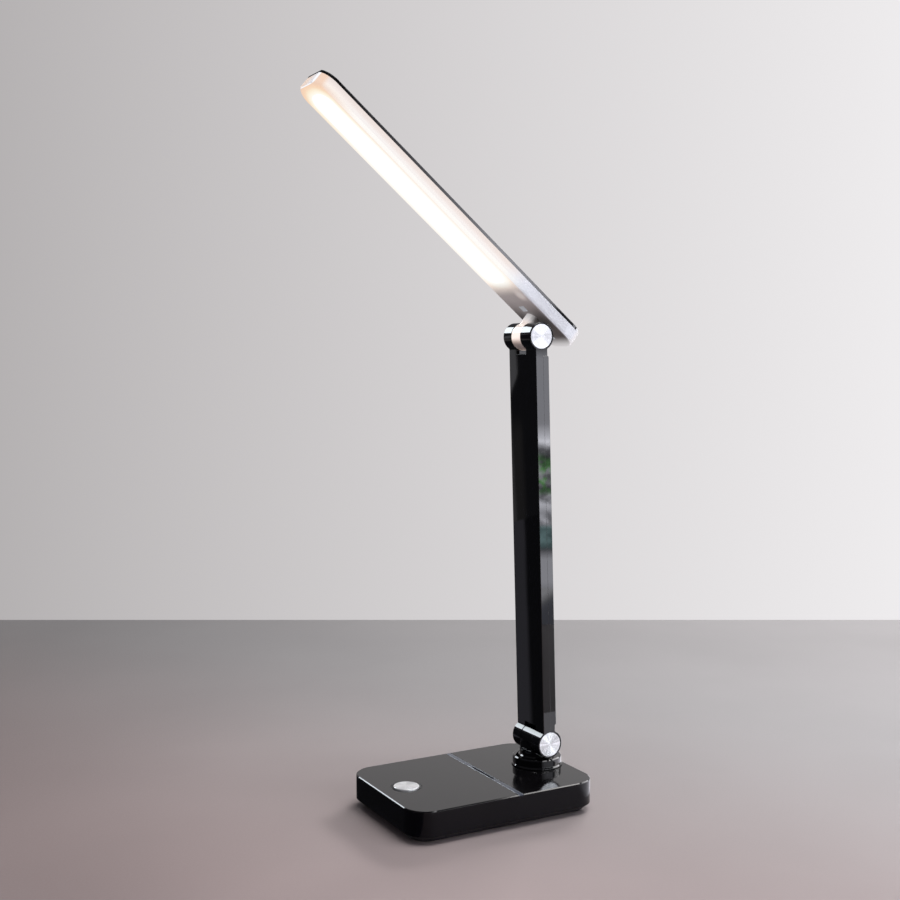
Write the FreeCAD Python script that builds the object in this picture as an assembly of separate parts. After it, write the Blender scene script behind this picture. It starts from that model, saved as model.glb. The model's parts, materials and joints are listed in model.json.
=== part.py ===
import FreeCAD, Part
import math
import os
from FreeCAD import Placement, Rotation, Vector

# Folding desk lamp: a weighted base with a push button, a turning post, a flat arm and a flat lit head.
# Lengths are in millimetres and angles in degrees. The origin is under the middle of the base, on the desk.
# +X runs along the base from the button end to the post end, +Z is up, and the head reaches towards -X.
# Each part of the lamp is drawn in its own level frame and then set at its hinge with the pose angles below.

# Pose that the lamp is drawn in
ARM_LEAN_ANGLE = 1.75
HEAD_TILT_ANGLE = 39.8

# Allowances shared by every piece
OVERRUN = 1.0
SEAT_GAP = 0.05
FIT_GAP = 0.1
LOOSE_GAP = 0.3
RUNNING_GAP = 0.05

# Base housing
BASE_LENGTH = 140.0
BASE_WIDTH = 100.0
BASE_CORNER = 16.0
DECK_HEIGHT = 22.0
DECK_BEVEL = 0.6
HOUSING_WALL = 2.4
DECK_THICKNESS = 2.6

# Bottom cover, pad and screws
COVER_SETBACK = 0.5
UNDERCUT_INSET = 5.0
UNDERCUT_HEIGHT = 4.2
COVER_FLOOR = 2.0
COVER_WALL = 1.3
COVER_LIP = 1.6
PAD_HEIGHT = 1.2
PAD_MARGIN = 3.0
BOSS_RADIUS = 4.0
BOSS_INSET = 13.0
SCREW_RADIUS = 1.3
SCREW_HEAD_RADIUS = 2.6
SCREW_HEAD_DEPTH = 1.3
BASE_SCREW_LENGTH = 9.0

# Ballast and battery
BALLAST_MARGIN = 10.5
BALLAST_CORNER = 6.0
BATTERY_WIDTH = 38.0
BATTERY_THICKNESS = 7.0
BATTERY_EDGE = 2.0
BATTERY_GAP = 6.0

# Divider strip that crosses the deck, with a short slot in its middle
STRIP_FROM_POST = 43.9
STRIP_WIDTH = 3.4
STRIP_DEPTH = 1.0
STRIP_BEVEL = 0.3
SLOT_LENGTH = 29.0
SLOT_WIDTH = 1.6
SLOT_SINK = 0.8

# Push button, its ring and its switch
BUTTON_FROM_END = 19.2
BUTTON_RADIUS = 8.6
BUTTON_PROUD = 0.8
BUTTON_THICKNESS = 1.6
BUTTON_BEVEL = 0.35
BUTTON_TRAVEL = 0.5
RING_WIDTH = 1.6
RING_THICKNESS = 1.0
RING_BEVEL = 0.45
PLUNGER_FLANGE = 1.6
PLUNGER_FLANGE_THICKNESS = 1.0
PLUNGER_STEM_RADIUS = 2.4
SWITCH_SIDE = 6.0
SWITCH_HEIGHT = 3.5
SWITCH_TIP_RADIUS = 1.7
SWITCH_TIP_HEIGHT = 0.5

# Circuit boards and charging socket
BOARD_THICKNESS = 1.6
BOARD_LENGTH = 32.0
BOARD_SIDE_GAP = 4.0
BOARD_DROP = 8.0
BOARD_LIFT = 1.6
BOARD_POST_RADIUS = 3.0
BOARD_POST_INSET = 4.5
BOARD_SCREW_LENGTH = 6.0
BOARD_SCREW_HEAD = 1.2
CHIP_LENGTH = 9.0
CHIP_WIDTH = 9.0
CHIP_HEIGHT = 1.4
PORT_BOARD_LENGTH = 11.0
PORT_BOARD_WIDTH = 34.0
PORT_BOARD_GAP = 1.1
SOCKET_LENGTH = 7.4
SOCKET_WIDTH = 8.94
SOCKET_HEIGHT = 3.26
SOCKET_WALL = 0.3
SOCKET_TONGUE_WIDTH = 6.7
SOCKET_TONGUE_THICKNESS = 0.7
SOCKET_SHELL_BACK = 1.2

# Turning post: disc, neck and hinge tongue
POST_FROM_END = 18.0
DISC_RADIUS = 17.0
DISC_HEIGHT = 7.0
DISC_TOP_BEVEL = 0.8
DISC_LIP_REACH = 0.7
DISC_LIP_EDGE = 0.5
DISC_LIP_RISE = 0.9
NECK_RADIUS = 12.0
NECK_FILLET = 0.8
NECK_SHOULDER_DROP = 6.5
HINGE_RISE = 17.7
LOWER_TONGUE_WIDTH = 14.0
TONGUE_RADIUS = 9.3
WIRE_BORE_RADIUS = 2.6

# Swivel bearing under the post
GLIDE_RADIUS = 14.0
GLIDE_BORE = 9.5
GLIDE_THICKNESS = 1.0
BUSH_WALL = 2.0
BUSH_FLANGE_RADIUS = 11.0
BUSH_FLANGE_THICKNESS = 1.4
TUBE_RADIUS = 6.0
TUBE_BORE = 3.6
TUBE_ENGAGEMENT = 8.0
TUBE_TAIL = 0.6
SWIVEL_WASHER_RADIUS = 10.0
SWIVEL_WASHER_THICKNESS = 0.9
SWIVEL_NUT_FLATS = 16.0
SWIVEL_NUT_THICKNESS = 3.4
STOP_WIDTH = 4.0
STOP_REACH = 14.5
STOP_LUG_THICKNESS = 3.0

# Arm shells
ARM_LENGTH = 281.0
ARM_WIDTH = 34.0
ARM_DEPTH = 10.2
ARM_SEAM = 0.8
ARM_WALL = 2.0
ARM_EDGE = 0.35
KNUCKLE_RADIUS = 9.6
KNUCKLE_BLEND = 1.2
KNUCKLE_LENGTH = 13.3
KNUCKLE_REAR_STEP = 0.7
KNUCKLE_SIDE_STEP = 0.3
EAR_BEVEL = 0.4
FORK_DEPTH = 11.7
FORK_GAP = 0.2
COVER_END_BEVEL = 0.5
CLIP_LENGTH = 8.0
CLIP_THICKNESS = 1.2
CLIP_REACH = 1.6
CLIP_COUNT = 5
CLIP_MARGIN = 18.0
LEAD_RADIUS = 0.9
LEAD_WINDOW_WIDTH = 5.2
LEAD_WINDOW_DEPTH = 2.6

# Hinge hardware, the same at both knuckles
PIN_RADIUS = 4.0
PIN_HEAD_RADIUS = 6.6
PIN_HEAD_THICKNESS = 3.0
PIN_KEY_FLATS = 4.0
PIN_KEY_DEPTH = 1.6
CAP_RADIUS = 8.6
CAP_THICKNESS = 1.2
CAP_RECESS = 0.3
CAP_BEVEL = 0.3
CAP_POCKET_DEPTH = 5.5
HINGE_NUT_FLATS = 12.5
HINGE_NUT_THICKNESS = 1.8
SPRING_WASHER_RADIUS = 7.2
SPRING_WASHER_THICKNESS = 0.5
SPRING_WASHER_CONE = 0.4
FRICTION_RADIUS = 6.6
FRICTION_THICKNESS = 0.8

# Head: lit tray, top cover and hinge tongue
HEAD_TIP = 223.2
HEAD_REAR = 26.5
HEAD_WIDTH = 34.0
HEAD_CORNER = 12.0
HEAD_END_CUT = 1.0
HEAD_OFFSET = 12.4
HEAD_DEPTH = 11.0
HEAD_COVER = 2.2
HEAD_COVER_BEVEL = 0.35
HEAD_EDGE_BEVEL = 0.4
HEAD_WALL = 1.8
HEAD_UNDER_FILLET = 2.4
HEAD_REAR_FILLET = 1.2
HEAD_REAR_BORDER = 8.0
HEAD_LIP_THICKNESS = 1.2
HEAD_LIP_DEPTH = 1.3
UPPER_TONGUE_WIDTH = 11.2
UPPER_TONGUE_SHIFT = 1.1
TONGUE_ROOT_REACH = 9.8
TONGUE_ROOT_START = 3.0
TONGUE_FLANGE_REACH = 17.6
TONGUE_FLANGE_WIDTH = 18.0
TONGUE_FLANGE_THICKNESS = 2.0
PLUG_PLACE = 14.6
PLUG_LENGTH = 5.0
PLUG_WIDTH = 6.0
COVER_POST_RADIUS = 2.8

# Light unit inside the head
REFLECTOR_START = 34.0
REFLECTOR_WIDTH = 29.4
REFLECTOR_WALL = 1.0
REFLECTOR_END_GAP = 3.0
REFLECTOR_HEIGHT = 4.9
LED_BOARD_WIDTH = 22.0
LED_BOARD_THICKNESS = 1.2
LED_BOARD_END_GAP = 3.0
LED_LENGTH = 3.5
LED_WIDTH = 2.8
LED_THICKNESS = 0.7
LED_COLUMNS = 14
LED_ROW_PLACE = 6.0
LED_END_MARGIN = 8.0
LIGHT_SCREW_COUNT = 2
LIGHT_SCREW_LENGTH = 2.9
LIGHT_SCREW_HEAD = 0.9
LIGHT_SCREW_RADIUS = 1.0
LIGHT_SCREW_HEAD_RADIUS = 1.9

# Heights and places that follow from the sizes above
HALF_LENGTH = BASE_LENGTH / 2
HALF_WIDTH = BASE_WIDTH / 2
POST_PLACE = HALF_LENGTH - POST_FROM_END
BUTTON_PLACE = BUTTON_FROM_END - HALF_LENGTH
STRIP_PLACE = POST_PLACE - STRIP_FROM_POST
SIDE_FOOT = PAD_HEIGHT + UNDERCUT_HEIGHT
CEILING = DECK_HEIGHT - DECK_THICKNESS
FLOOR_TOP = PAD_HEIGHT + COVER_FLOOR
BOARD_TOP = CEILING - BOARD_DROP
BOARD_UNDER = BOARD_TOP - BOARD_THICKNESS
BALLAST_TOP = BOARD_UNDER - BOARD_LIFT
BOSS_X = HALF_LENGTH - BOSS_INSET
BOSS_Y = HALF_WIDTH - BOSS_INSET
BOARD_HALF_WIDTH = BOSS_Y - BOSS_RADIUS - BOARD_SIDE_GAP
HINGE_HEIGHT = DECK_HEIGHT + HINGE_RISE
HEAD_UNDER = HEAD_OFFSET
HEAD_TOP = HEAD_OFFSET + HEAD_DEPTH
TRAY_TOP = HEAD_TOP - HEAD_COVER
TRAY_FLOOR = HEAD_UNDER + HEAD_WALL
BUSH_RADIUS = TUBE_RADIUS + RUNNING_GAP + BUSH_WALL
SQRT_3 = math.sqrt(3)

os.makedirs("parts", exist_ok=True)


def save(name, shape):
    """Writes one sub-part to its own file."""
    shape.exportStep("parts/" + name + ".step")


def block(x0, x1, y0, y1, z0, z1):
    """Box between two corners."""
    return Part.makeBox(x1 - x0, y1 - y0, z1 - z0, Vector(x0, y0, z0))


def upright(x, y, z0, z1, radius):
    """Cylinder along Z."""
    return Part.makeCylinder(radius, z1 - z0, Vector(x, y, z0), Vector(0, 0, 1))


def crosswise(x, z, y0, y1, radius):
    """Cylinder along Y."""
    return Part.makeCylinder(radius, y1 - y0, Vector(x, y0, z), Vector(0, 1, 0))


def ring(x, y, z0, z1, outer, inner):
    """Flat ring about a vertical axis."""
    hole = upright(x, y, z0 - OVERRUN, z1 + OVERRUN, inner)
    return upright(x, y, z0, z1, outer).cut(hole)


def rounded_wire(x0, x1, y0, y1, z, radius):
    """Closed outline of a rectangle with round corners, at height z."""
    centres = [(x1 - radius, y1 - radius), (x0 + radius, y1 - radius)]
    centres += [(x0 + radius, y0 + radius), (x1 - radius, y0 + radius)]
    points = []
    for quarter, centre in enumerate(centres):
        for eighth in (0, 1, 2):
            angle = math.radians(90 * quarter + 45 * eighth)
            reach = Vector(math.cos(angle), math.sin(angle), 0) * radius
            points.append(Vector(centre[0], centre[1], z) + reach)
    edges = []
    for k in range(4):
        start, middle, end = points[3 * k:3 * k + 3]
        following = points[(3 * k + 3) % len(points)]
        edges.append(Part.Arc(start, middle, end).toShape())
        edges.append(Part.LineSegment(end, following).toShape())
    return Part.Wire(edges)


def rounded_slab(x0, x1, y0, y1, z0, z1, radius):
    """Plate with round corners between two heights."""
    face = Part.Face(rounded_wire(x0, x1, y0, y1, z0, radius))
    return face.extrude(Vector(0, 0, z1 - z0))


def base_slab(inset, z0, z1):
    """Plate that follows the base's outline, drawn in by an inset."""
    length, width = HALF_LENGTH - inset, HALF_WIDTH - inset
    return rounded_slab(-length, length, -width, width, z0, z1, BASE_CORNER - inset)


def hexagon(flats, thickness):
    """Hexagonal prism on the origin, along Z."""
    radius = flats / SQRT_3
    points = []
    for k in range(7):
        angle = math.radians(60 * k)
        points.append(Vector(radius * math.cos(angle), radius * math.sin(angle), 0))
    return Part.Face(Part.makePolygon(points)).extrude(Vector(0, 0, thickness))


def edges_at(shape, test):
    """Edges whose middle point passes a test."""
    found = []
    for edge in shape.Edges:
        middle = edge.valueAt((edge.FirstParameter + edge.LastParameter) / 2)
        if test(middle):
            found.append(edge)
    return found


def near(a, b):
    """True where two places are the same within a seat gap."""
    return abs(a - b) < SEAT_GAP / 2


def lean(shape, angle, x, z):
    """Turns a level shape about the Y axis and carries its origin to a hinge."""
    turned = shape.copy()
    turned.Placement = Placement(Vector(x, 0, z), Rotation(Vector(0, 1, 0), angle)).multiply(turned.Placement)
    return turned


def place_arm(shape):
    """Carries a shape drawn in the arm's frame, with its origin on the lower hinge, to the post."""
    return lean(shape, -ARM_LEAN_ANGLE, POST_PLACE, HINGE_HEIGHT)


def place_head(shape):
    """Carries a shape drawn level, with its origin on the upper hinge, to the top of the arm."""
    angle = math.radians(ARM_LEAN_ANGLE)
    x = POST_PLACE - ARM_LENGTH * math.sin(angle)
    z = HINGE_HEIGHT + ARM_LENGTH * math.cos(angle)
    return lean(shape, HEAD_TILT_ANGLE, x, z)


def boss_places():
    return [(sx * BOSS_X, sy * BOSS_Y) for sx in (-1, 1) for sy in (-1, 1)]


def board_post_places():
    """Places of the two posts that carry the main circuit board, on opposite corners of it."""
    x = BOARD_LENGTH / 2 - BOARD_POST_INSET
    y = BOARD_HALF_WIDTH - BOARD_POST_INSET
    return [(BUTTON_PLACE + side * x, side * y) for side in (-1, 1)]


def port_board_span():
    """Span along X of the small board behind the charging socket."""
    end = HALF_LENGTH - HOUSING_WALL - PORT_BOARD_GAP
    return end - PORT_BOARD_LENGTH, end


def port_post_places():
    x0, x1 = port_board_span()
    y = PORT_BOARD_WIDTH / 2 - BOARD_POST_INSET
    return [((x0 + x1) / 2, -y), ((x0 + x1) / 2, y)]


def socket_outline(x0, x1, grow):
    """Socket body with round ends, grown all round by an amount, lying on the small board."""
    y = SOCKET_WIDTH / 2 + grow
    z0 = BOARD_TOP - grow
    z1 = BOARD_TOP + SOCKET_HEIGHT + grow
    radius = (z1 - z0) / 2 - SEAT_GAP
    flat = rounded_slab(z0, z1, -y, y, 0, x1 - x0, radius)
    flat.rotate(Vector(0, 0, 0), Vector(0, 1, 0), 90)
    flat.rotate(Vector(0, 0, 0), Vector(1, 0, 0), 180)
    flat.translate(Vector(x0, 0, 0))
    return flat


def base_housing():
    """Upper shell of the base: deck, side walls, bosses, board posts and the deck's cut-outs."""
    shell = base_slab(0, SIDE_FOOT, DECK_HEIGHT)
    rim = edges_at(shell, lambda p: near(p.z, DECK_HEIGHT))
    shell = shell.makeChamfer(DECK_BEVEL, rim)
    shell = shell.cut(base_slab(HOUSING_WALL, SIDE_FOOT - OVERRUN, CEILING))
    for x, y in boss_places():
        shell = shell.fuse(upright(x, y, FLOOR_TOP, CEILING + OVERRUN, BOSS_RADIUS))
        pilot = upright(x, y, FLOOR_TOP - OVERRUN, PAD_HEIGHT + BASE_SCREW_LENGTH + OVERRUN, SCREW_RADIUS)
        shell = shell.cut(pilot)
    for x, y in board_post_places() + port_post_places():
        shell = shell.fuse(upright(x, y, BOARD_TOP, CEILING + OVERRUN, BOARD_POST_RADIUS))
        pilot = upright(x, y, BOARD_TOP - OVERRUN, BOARD_TOP + BOARD_SCREW_LENGTH, SCREW_RADIUS)
        shell = shell.cut(pilot)
    half = STRIP_WIDTH / 2
    channel = block(STRIP_PLACE - half, STRIP_PLACE + half, -HALF_WIDTH - OVERRUN, HALF_WIDTH + OVERRUN,
                    DECK_HEIGHT - STRIP_DEPTH, DECK_HEIGHT + OVERRUN)
    pocket = slot_cutter(DECK_HEIGHT - STRIP_DEPTH - SLOT_SINK)
    swivel = upright(POST_PLACE, 0, CEILING - OVERRUN, DECK_HEIGHT + OVERRUN, BUSH_RADIUS)
    hole = upright(BUTTON_PLACE, 0, CEILING - OVERRUN, DECK_HEIGHT + OVERRUN, BUTTON_RADIUS + LOOSE_GAP)
    seat_radius = BUTTON_RADIUS + LOOSE_GAP + RING_WIDTH + SEAT_GAP
    seat = upright(BUTTON_PLACE, 0, DECK_HEIGHT - RING_THICKNESS, DECK_HEIGHT + OVERRUN, seat_radius)
    port = socket_outline(HALF_LENGTH - HOUSING_WALL - OVERRUN, HALF_LENGTH + OVERRUN, LOOSE_GAP)
    for cutter in (channel, pocket, swivel, hole, seat, port):
        shell = shell.cut(cutter)
    near_face = POST_PLACE + STOP_WIDTH / 2 + FIT_GAP
    lug_foot = swivel_heights()[1]
    for side in (-1, 1):
        y0, y1 = sorted((side * (BUSH_FLANGE_RADIUS + LOOSE_GAP), side * STOP_REACH))
        lug = block(near_face, near_face + STOP_LUG_THICKNESS, y0, y1, lug_foot, CEILING + OVERRUN)
        shell = shell.fuse(lug)
    return shell


def slot_cutter(bottom):
    """Narrow slot with round ends in the middle of the divider strip."""
    half = SLOT_WIDTH / 2
    end = SLOT_LENGTH / 2
    return rounded_slab(STRIP_PLACE - half, STRIP_PLACE + half, -end, end, bottom,
                        DECK_HEIGHT + OVERRUN, half - SEAT_GAP)


def divider_strip():
    """Inlaid strip between the two halves of the deck."""
    half = STRIP_WIDTH / 2 - SEAT_GAP
    top = DECK_HEIGHT - SEAT_GAP
    end = HALF_WIDTH - DECK_BEVEL
    strip = block(STRIP_PLACE - half, STRIP_PLACE + half, -end, end, DECK_HEIGHT - STRIP_DEPTH, top)
    rims = edges_at(strip, lambda p: near(p.z, top) and near(abs(p.x - STRIP_PLACE), half))
    strip = strip.makeChamfer(STRIP_BEVEL, rims)
    return strip.cut(slot_cutter(DECK_HEIGHT - STRIP_DEPTH - OVERRUN))


def base_bottom_cover():
    """Tray that closes the base from below and draws in towards the desk."""
    def outline(inset, z):
        length, width = HALF_LENGTH - inset, HALF_WIDTH - inset
        return rounded_wire(-length, length, -width, width, z, BASE_CORNER - inset)

    tray = Part.makeLoft([outline(UNDERCUT_INSET, PAD_HEIGHT), outline(COVER_SETBACK, SIDE_FOOT)], True, True)
    inner = UNDERCUT_INSET + COVER_WALL
    tray = tray.cut(base_slab(inner, FLOOR_TOP, SIDE_FOOT + OVERRUN))
    lip_outer = HOUSING_WALL + FIT_GAP
    lip = base_slab(lip_outer, SIDE_FOOT, SIDE_FOOT + COVER_LIP)
    lip = lip.cut(base_slab(lip_outer + COVER_WALL, SIDE_FOOT - OVERRUN, SIDE_FOOT + COVER_LIP + OVERRUN))
    tray = tray.fuse(lip)
    for x, y in boss_places():
        tray = tray.cut(upright(x, y, PAD_HEIGHT - OVERRUN, FLOOR_TOP + OVERRUN, SCREW_RADIUS + FIT_GAP))
        head_top = PAD_HEIGHT + SCREW_HEAD_DEPTH + SEAT_GAP
        tray = tray.cut(upright(x, y, PAD_HEIGHT - OVERRUN, head_top, SCREW_HEAD_RADIUS + FIT_GAP))
    return tray.removeSplitter()


def anti_slip_pad():
    """One soft pad under the whole floor; it hides the screws."""
    return base_slab(UNDERCUT_INSET + PAD_MARGIN, 0, PAD_HEIGHT)


def screw(x, y, z_head, head_depth, length, radius, head_radius):
    """Pan-head screw that points up from its head."""
    head = upright(x, y, z_head, z_head + head_depth, head_radius)
    return head.fuse(upright(x, y, z_head + head_depth - SEAT_GAP, z_head + length, radius))


def base_screws():
    z = PAD_HEIGHT + SEAT_GAP
    made = [screw(x, y, z, SCREW_HEAD_DEPTH, BASE_SCREW_LENGTH, SCREW_RADIUS, SCREW_HEAD_RADIUS)
            for x, y in boss_places()]
    return Part.makeCompound(made)


def ballast_plate():
    """Steel weight on the floor, held by the bosses that pass its corners."""
    length, width = HALF_LENGTH - BALLAST_MARGIN, HALF_WIDTH - BALLAST_MARGIN
    plate = rounded_slab(-length, length, -width, width, FLOOR_TOP, BALLAST_TOP, BALLAST_CORNER)
    for x, y in boss_places():
        plate = plate.cut(upright(x, y, FLOOR_TOP - OVERRUN, BALLAST_TOP + OVERRUN, BOSS_RADIUS + LOOSE_GAP))
    return plate


def battery_pack():
    """Flat rechargeable cell on the ballast, between the main board and the swivel."""
    x0 = BUTTON_PLACE + BOARD_LENGTH / 2 + BATTERY_GAP
    x1 = POST_PLACE - STOP_REACH - BATTERY_GAP
    y = BATTERY_WIDTH / 2
    return rounded_slab(x0, x1, -y, y, BALLAST_TOP, BALLAST_TOP + BATTERY_THICKNESS, BATTERY_EDGE)


def main_circuit_board():
    """Board under the button, screwed to the deck's posts, with its control and driver chips."""
    x, y = BOARD_LENGTH / 2, BOARD_HALF_WIDTH
    board = block(BUTTON_PLACE - x, BUTTON_PLACE + x, -y, y, BOARD_UNDER, BOARD_TOP)
    for px, py in board_post_places():
        board = board.cut(upright(px, py, BOARD_UNDER - OVERRUN, BOARD_TOP + OVERRUN, SCREW_RADIUS + FIT_GAP))
    for side in (-1, 1):
        cx, cy = CHIP_LENGTH / 2, CHIP_WIDTH / 2
        centre = side * (SWITCH_SIDE / 2 + y) / 2
        chip = block(BUTTON_PLACE - cx, BUTTON_PLACE + cx, centre - cy, centre + cy,
                     BOARD_TOP, BOARD_TOP + CHIP_HEIGHT)
        board = board.fuse(chip)
    return board


def port_board():
    """Small board that carries the charging socket."""
    x0, x1 = port_board_span()
    y = PORT_BOARD_WIDTH / 2
    board = block(x0, x1, -y, y, BOARD_UNDER, BOARD_TOP)
    for px, py in port_post_places():
        board = board.cut(upright(px, py, BOARD_UNDER - OVERRUN, BOARD_TOP + OVERRUN, SCREW_RADIUS + FIT_GAP))
    return board


def board_screws():
    z = BOARD_UNDER - BOARD_SCREW_HEAD
    made = [screw(x, y, z, BOARD_SCREW_HEAD, BOARD_SCREW_LENGTH, SCREW_RADIUS, SCREW_HEAD_RADIUS)
            for x, y in board_post_places() + port_post_places()]
    return Part.makeCompound(made)


def charging_socket():
    """Flat oval charging socket in the end wall, with its contact tongue."""
    x1 = HALF_LENGTH - LOOSE_GAP
    x0 = x1 - SOCKET_LENGTH
    shell = socket_outline(x0, x1, 0)
    shell = shell.cut(socket_outline(x0 + SOCKET_SHELL_BACK, x1 + OVERRUN, -SOCKET_WALL))
    middle = BOARD_TOP + SOCKET_HEIGHT / 2
    y, z = SOCKET_TONGUE_WIDTH / 2, SOCKET_TONGUE_THICKNESS / 2
    tongue = block(x0 + SOCKET_SHELL_BACK - SEAT_GAP, x1 - SOCKET_WALL, -y, y, middle - z, middle + z)
    return shell.fuse(tongue)


def button_bezel():
    """Ring let into the deck round the button, with a bevel that falls towards it."""
    inner = BUTTON_RADIUS + LOOSE_GAP
    outer = inner + RING_WIDTH
    bottom, top = DECK_HEIGHT - RING_THICKNESS, DECK_HEIGHT - SEAT_GAP
    profile = [Vector(inner, 0, bottom), Vector(outer, 0, bottom), Vector(outer, 0, top),
               Vector(inner + RING_BEVEL + RING_BEVEL, 0, top), Vector(inner, 0, top - RING_BEVEL),
               Vector(inner, 0, bottom)]
    made = Part.Face(Part.makePolygon(profile)).revolve(Vector(0, 0, 0), Vector(0, 0, 1), 360)
    made.translate(Vector(BUTTON_PLACE, 0, 0))
    return made


def power_button():
    """Spun metal cap of the button."""
    top = DECK_HEIGHT + BUTTON_PROUD
    cap = upright(BUTTON_PLACE, 0, top - BUTTON_THICKNESS, top, BUTTON_RADIUS)
    return cap.makeChamfer(BUTTON_BEVEL, edges_at(cap, lambda p: near(p.z, top)))


def button_plunger():
    """Carrier under the metal cap, with the flange that stops under the deck and the stem to the switch."""
    cap_under = DECK_HEIGHT + BUTTON_PROUD - BUTTON_THICKNESS
    flange_top = CEILING - FIT_GAP
    flange_bottom = flange_top - PLUNGER_FLANGE_THICKNESS
    switch_top = BOARD_TOP + SWITCH_HEIGHT + SWITCH_TIP_HEIGHT
    body = upright(BUTTON_PLACE, 0, flange_bottom, cap_under, BUTTON_RADIUS - LOOSE_GAP)
    flange = upright(BUTTON_PLACE, 0, flange_bottom, flange_top, BUTTON_RADIUS + PLUNGER_FLANGE)
    stem_end = switch_top + BUTTON_TRAVEL + FIT_GAP
    stem = upright(BUTTON_PLACE, 0, stem_end, flange_bottom + SEAT_GAP, PLUNGER_STEM_RADIUS)
    return body.fuse(flange).fuse(stem)


def tactile_switch():
    """Square switch on the board, under the button's stem."""
    half = SWITCH_SIDE / 2
    top = BOARD_TOP + SWITCH_HEIGHT
    body = block(BUTTON_PLACE - half, BUTTON_PLACE + half, -half, half, BOARD_TOP, top)
    return body.fuse(upright(BUTTON_PLACE, 0, top - SEAT_GAP, top + SWITCH_TIP_HEIGHT, SWITCH_TIP_RADIUS))


def turntable_post():
    """Disc with a sloping lip round its foot, round neck and hinge tongue in one moulding."""
    foot = DECK_HEIGHT + LOOSE_GAP
    disc_top = DECK_HEIGHT + DISC_HEIGHT
    shoulder = HINGE_HEIGHT - NECK_SHOULDER_DROP
    profile = [Vector(0, 0, foot),
               Vector(DISC_RADIUS + DISC_LIP_REACH, 0, foot),
               Vector(DISC_RADIUS + DISC_LIP_REACH, 0, foot + DISC_LIP_EDGE),
               Vector(DISC_RADIUS, 0, foot + DISC_LIP_EDGE + DISC_LIP_RISE),
               Vector(DISC_RADIUS, 0, disc_top - DISC_TOP_BEVEL),
               Vector(DISC_RADIUS - DISC_TOP_BEVEL, 0, disc_top),
               Vector(NECK_RADIUS + NECK_FILLET, 0, disc_top),
               Vector(NECK_RADIUS, 0, disc_top + NECK_FILLET),
               Vector(NECK_RADIUS, 0, shoulder),
               Vector(0, 0, shoulder),
               Vector(0, 0, foot)]
    post = Part.Face(Part.makePolygon(profile)).revolve(Vector(0, 0, 0), Vector(0, 0, 1), 360)
    half = LOWER_TONGUE_WIDTH / 2
    column = block(-TONGUE_RADIUS, TONGUE_RADIUS, -half, half, disc_top - OVERRUN, HINGE_HEIGHT)
    tongue = column.fuse(crosswise(0, HINGE_HEIGHT, -half, half, TONGUE_RADIUS))
    sweep = KNUCKLE_RADIUS + LOOSE_GAP + FIT_GAP
    for side in (-1, 1):
        y0, y1 = sorted((side * half, side * (NECK_RADIUS + OVERRUN)))
        post = post.cut(crosswise(0, HINGE_HEIGHT, y0, y1, sweep))
    post = post.fuse(tongue)
    recess = upright(0, 0, foot - OVERRUN, DECK_HEIGHT + GLIDE_THICKNESS, GLIDE_RADIUS + FIT_GAP)
    tube_hole = upright(0, 0, foot - OVERRUN, DECK_HEIGHT + TUBE_ENGAGEMENT, TUBE_RADIUS)
    wire_hole = upright(0, 0, foot, HINGE_HEIGHT, WIRE_BORE_RADIUS)
    pin_hole = crosswise(0, HINGE_HEIGHT, -half - OVERRUN, half + OVERRUN, PIN_RADIUS + RUNNING_GAP)
    for cutter in (recess, tube_hole, wire_hole, pin_hole):
        post = post.cut(cutter)
    post.translate(Vector(POST_PLACE, 0, 0))
    return post.removeSplitter()


def glide_washer():
    """Slippery ring that the disc turns on."""
    return ring(POST_PLACE, 0, DECK_HEIGHT, DECK_HEIGHT + GLIDE_THICKNESS, GLIDE_RADIUS, GLIDE_BORE)


def swivel_bush():
    """Flanged bearing in the deck, from below."""
    sleeve = upright(POST_PLACE, 0, CEILING - OVERRUN, DECK_HEIGHT - FIT_GAP, BUSH_RADIUS)
    flange = upright(POST_PLACE, 0, CEILING - BUSH_FLANGE_THICKNESS, CEILING, BUSH_FLANGE_RADIUS)
    bore = upright(POST_PLACE, 0, CEILING - BUSH_FLANGE_THICKNESS - OVERRUN, DECK_HEIGHT + OVERRUN,
                   TUBE_RADIUS + RUNNING_GAP)
    return sleeve.fuse(flange).cut(bore)


def swivel_heights():
    """Heights of the washer's top, the nut's top and the nut's underside."""
    washer_top = CEILING - BUSH_FLANGE_THICKNESS - FIT_GAP
    nut_top = washer_top - SWIVEL_WASHER_THICKNESS
    return washer_top, nut_top, nut_top - SWIVEL_NUT_THICKNESS


def swivel_tube():
    """Hollow shaft that hangs from the post through the deck and lets the wires pass."""
    bottom = swivel_heights()[2] - TUBE_TAIL
    return ring(POST_PLACE, 0, bottom, DECK_HEIGHT + TUBE_ENGAGEMENT, TUBE_RADIUS, TUBE_BORE)


def swivel_washer():
    """Washer with a tab that meets a lug of the deck at each end of the turn."""
    top, bottom = swivel_heights()[:2]
    half = STOP_WIDTH / 2
    disc = upright(POST_PLACE, 0, bottom, top, SWIVEL_WASHER_RADIUS)
    tab = block(POST_PLACE - STOP_REACH, POST_PLACE, -half, half, bottom, top)
    bore = upright(POST_PLACE, 0, bottom - OVERRUN, top + OVERRUN, TUBE_RADIUS + RUNNING_GAP)
    return disc.fuse(tab).cut(bore).removeSplitter()


def swivel_nut():
    bottom = swivel_heights()[2]
    nut = hexagon(SWIVEL_NUT_FLATS, SWIVEL_NUT_THICKNESS)
    nut.translate(Vector(POST_PLACE, 0, bottom))
    top = bottom + SWIVEL_NUT_THICKNESS
    return nut.cut(upright(POST_PLACE, 0, bottom - OVERRUN, top + OVERRUN, TUBE_RADIUS))


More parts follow.
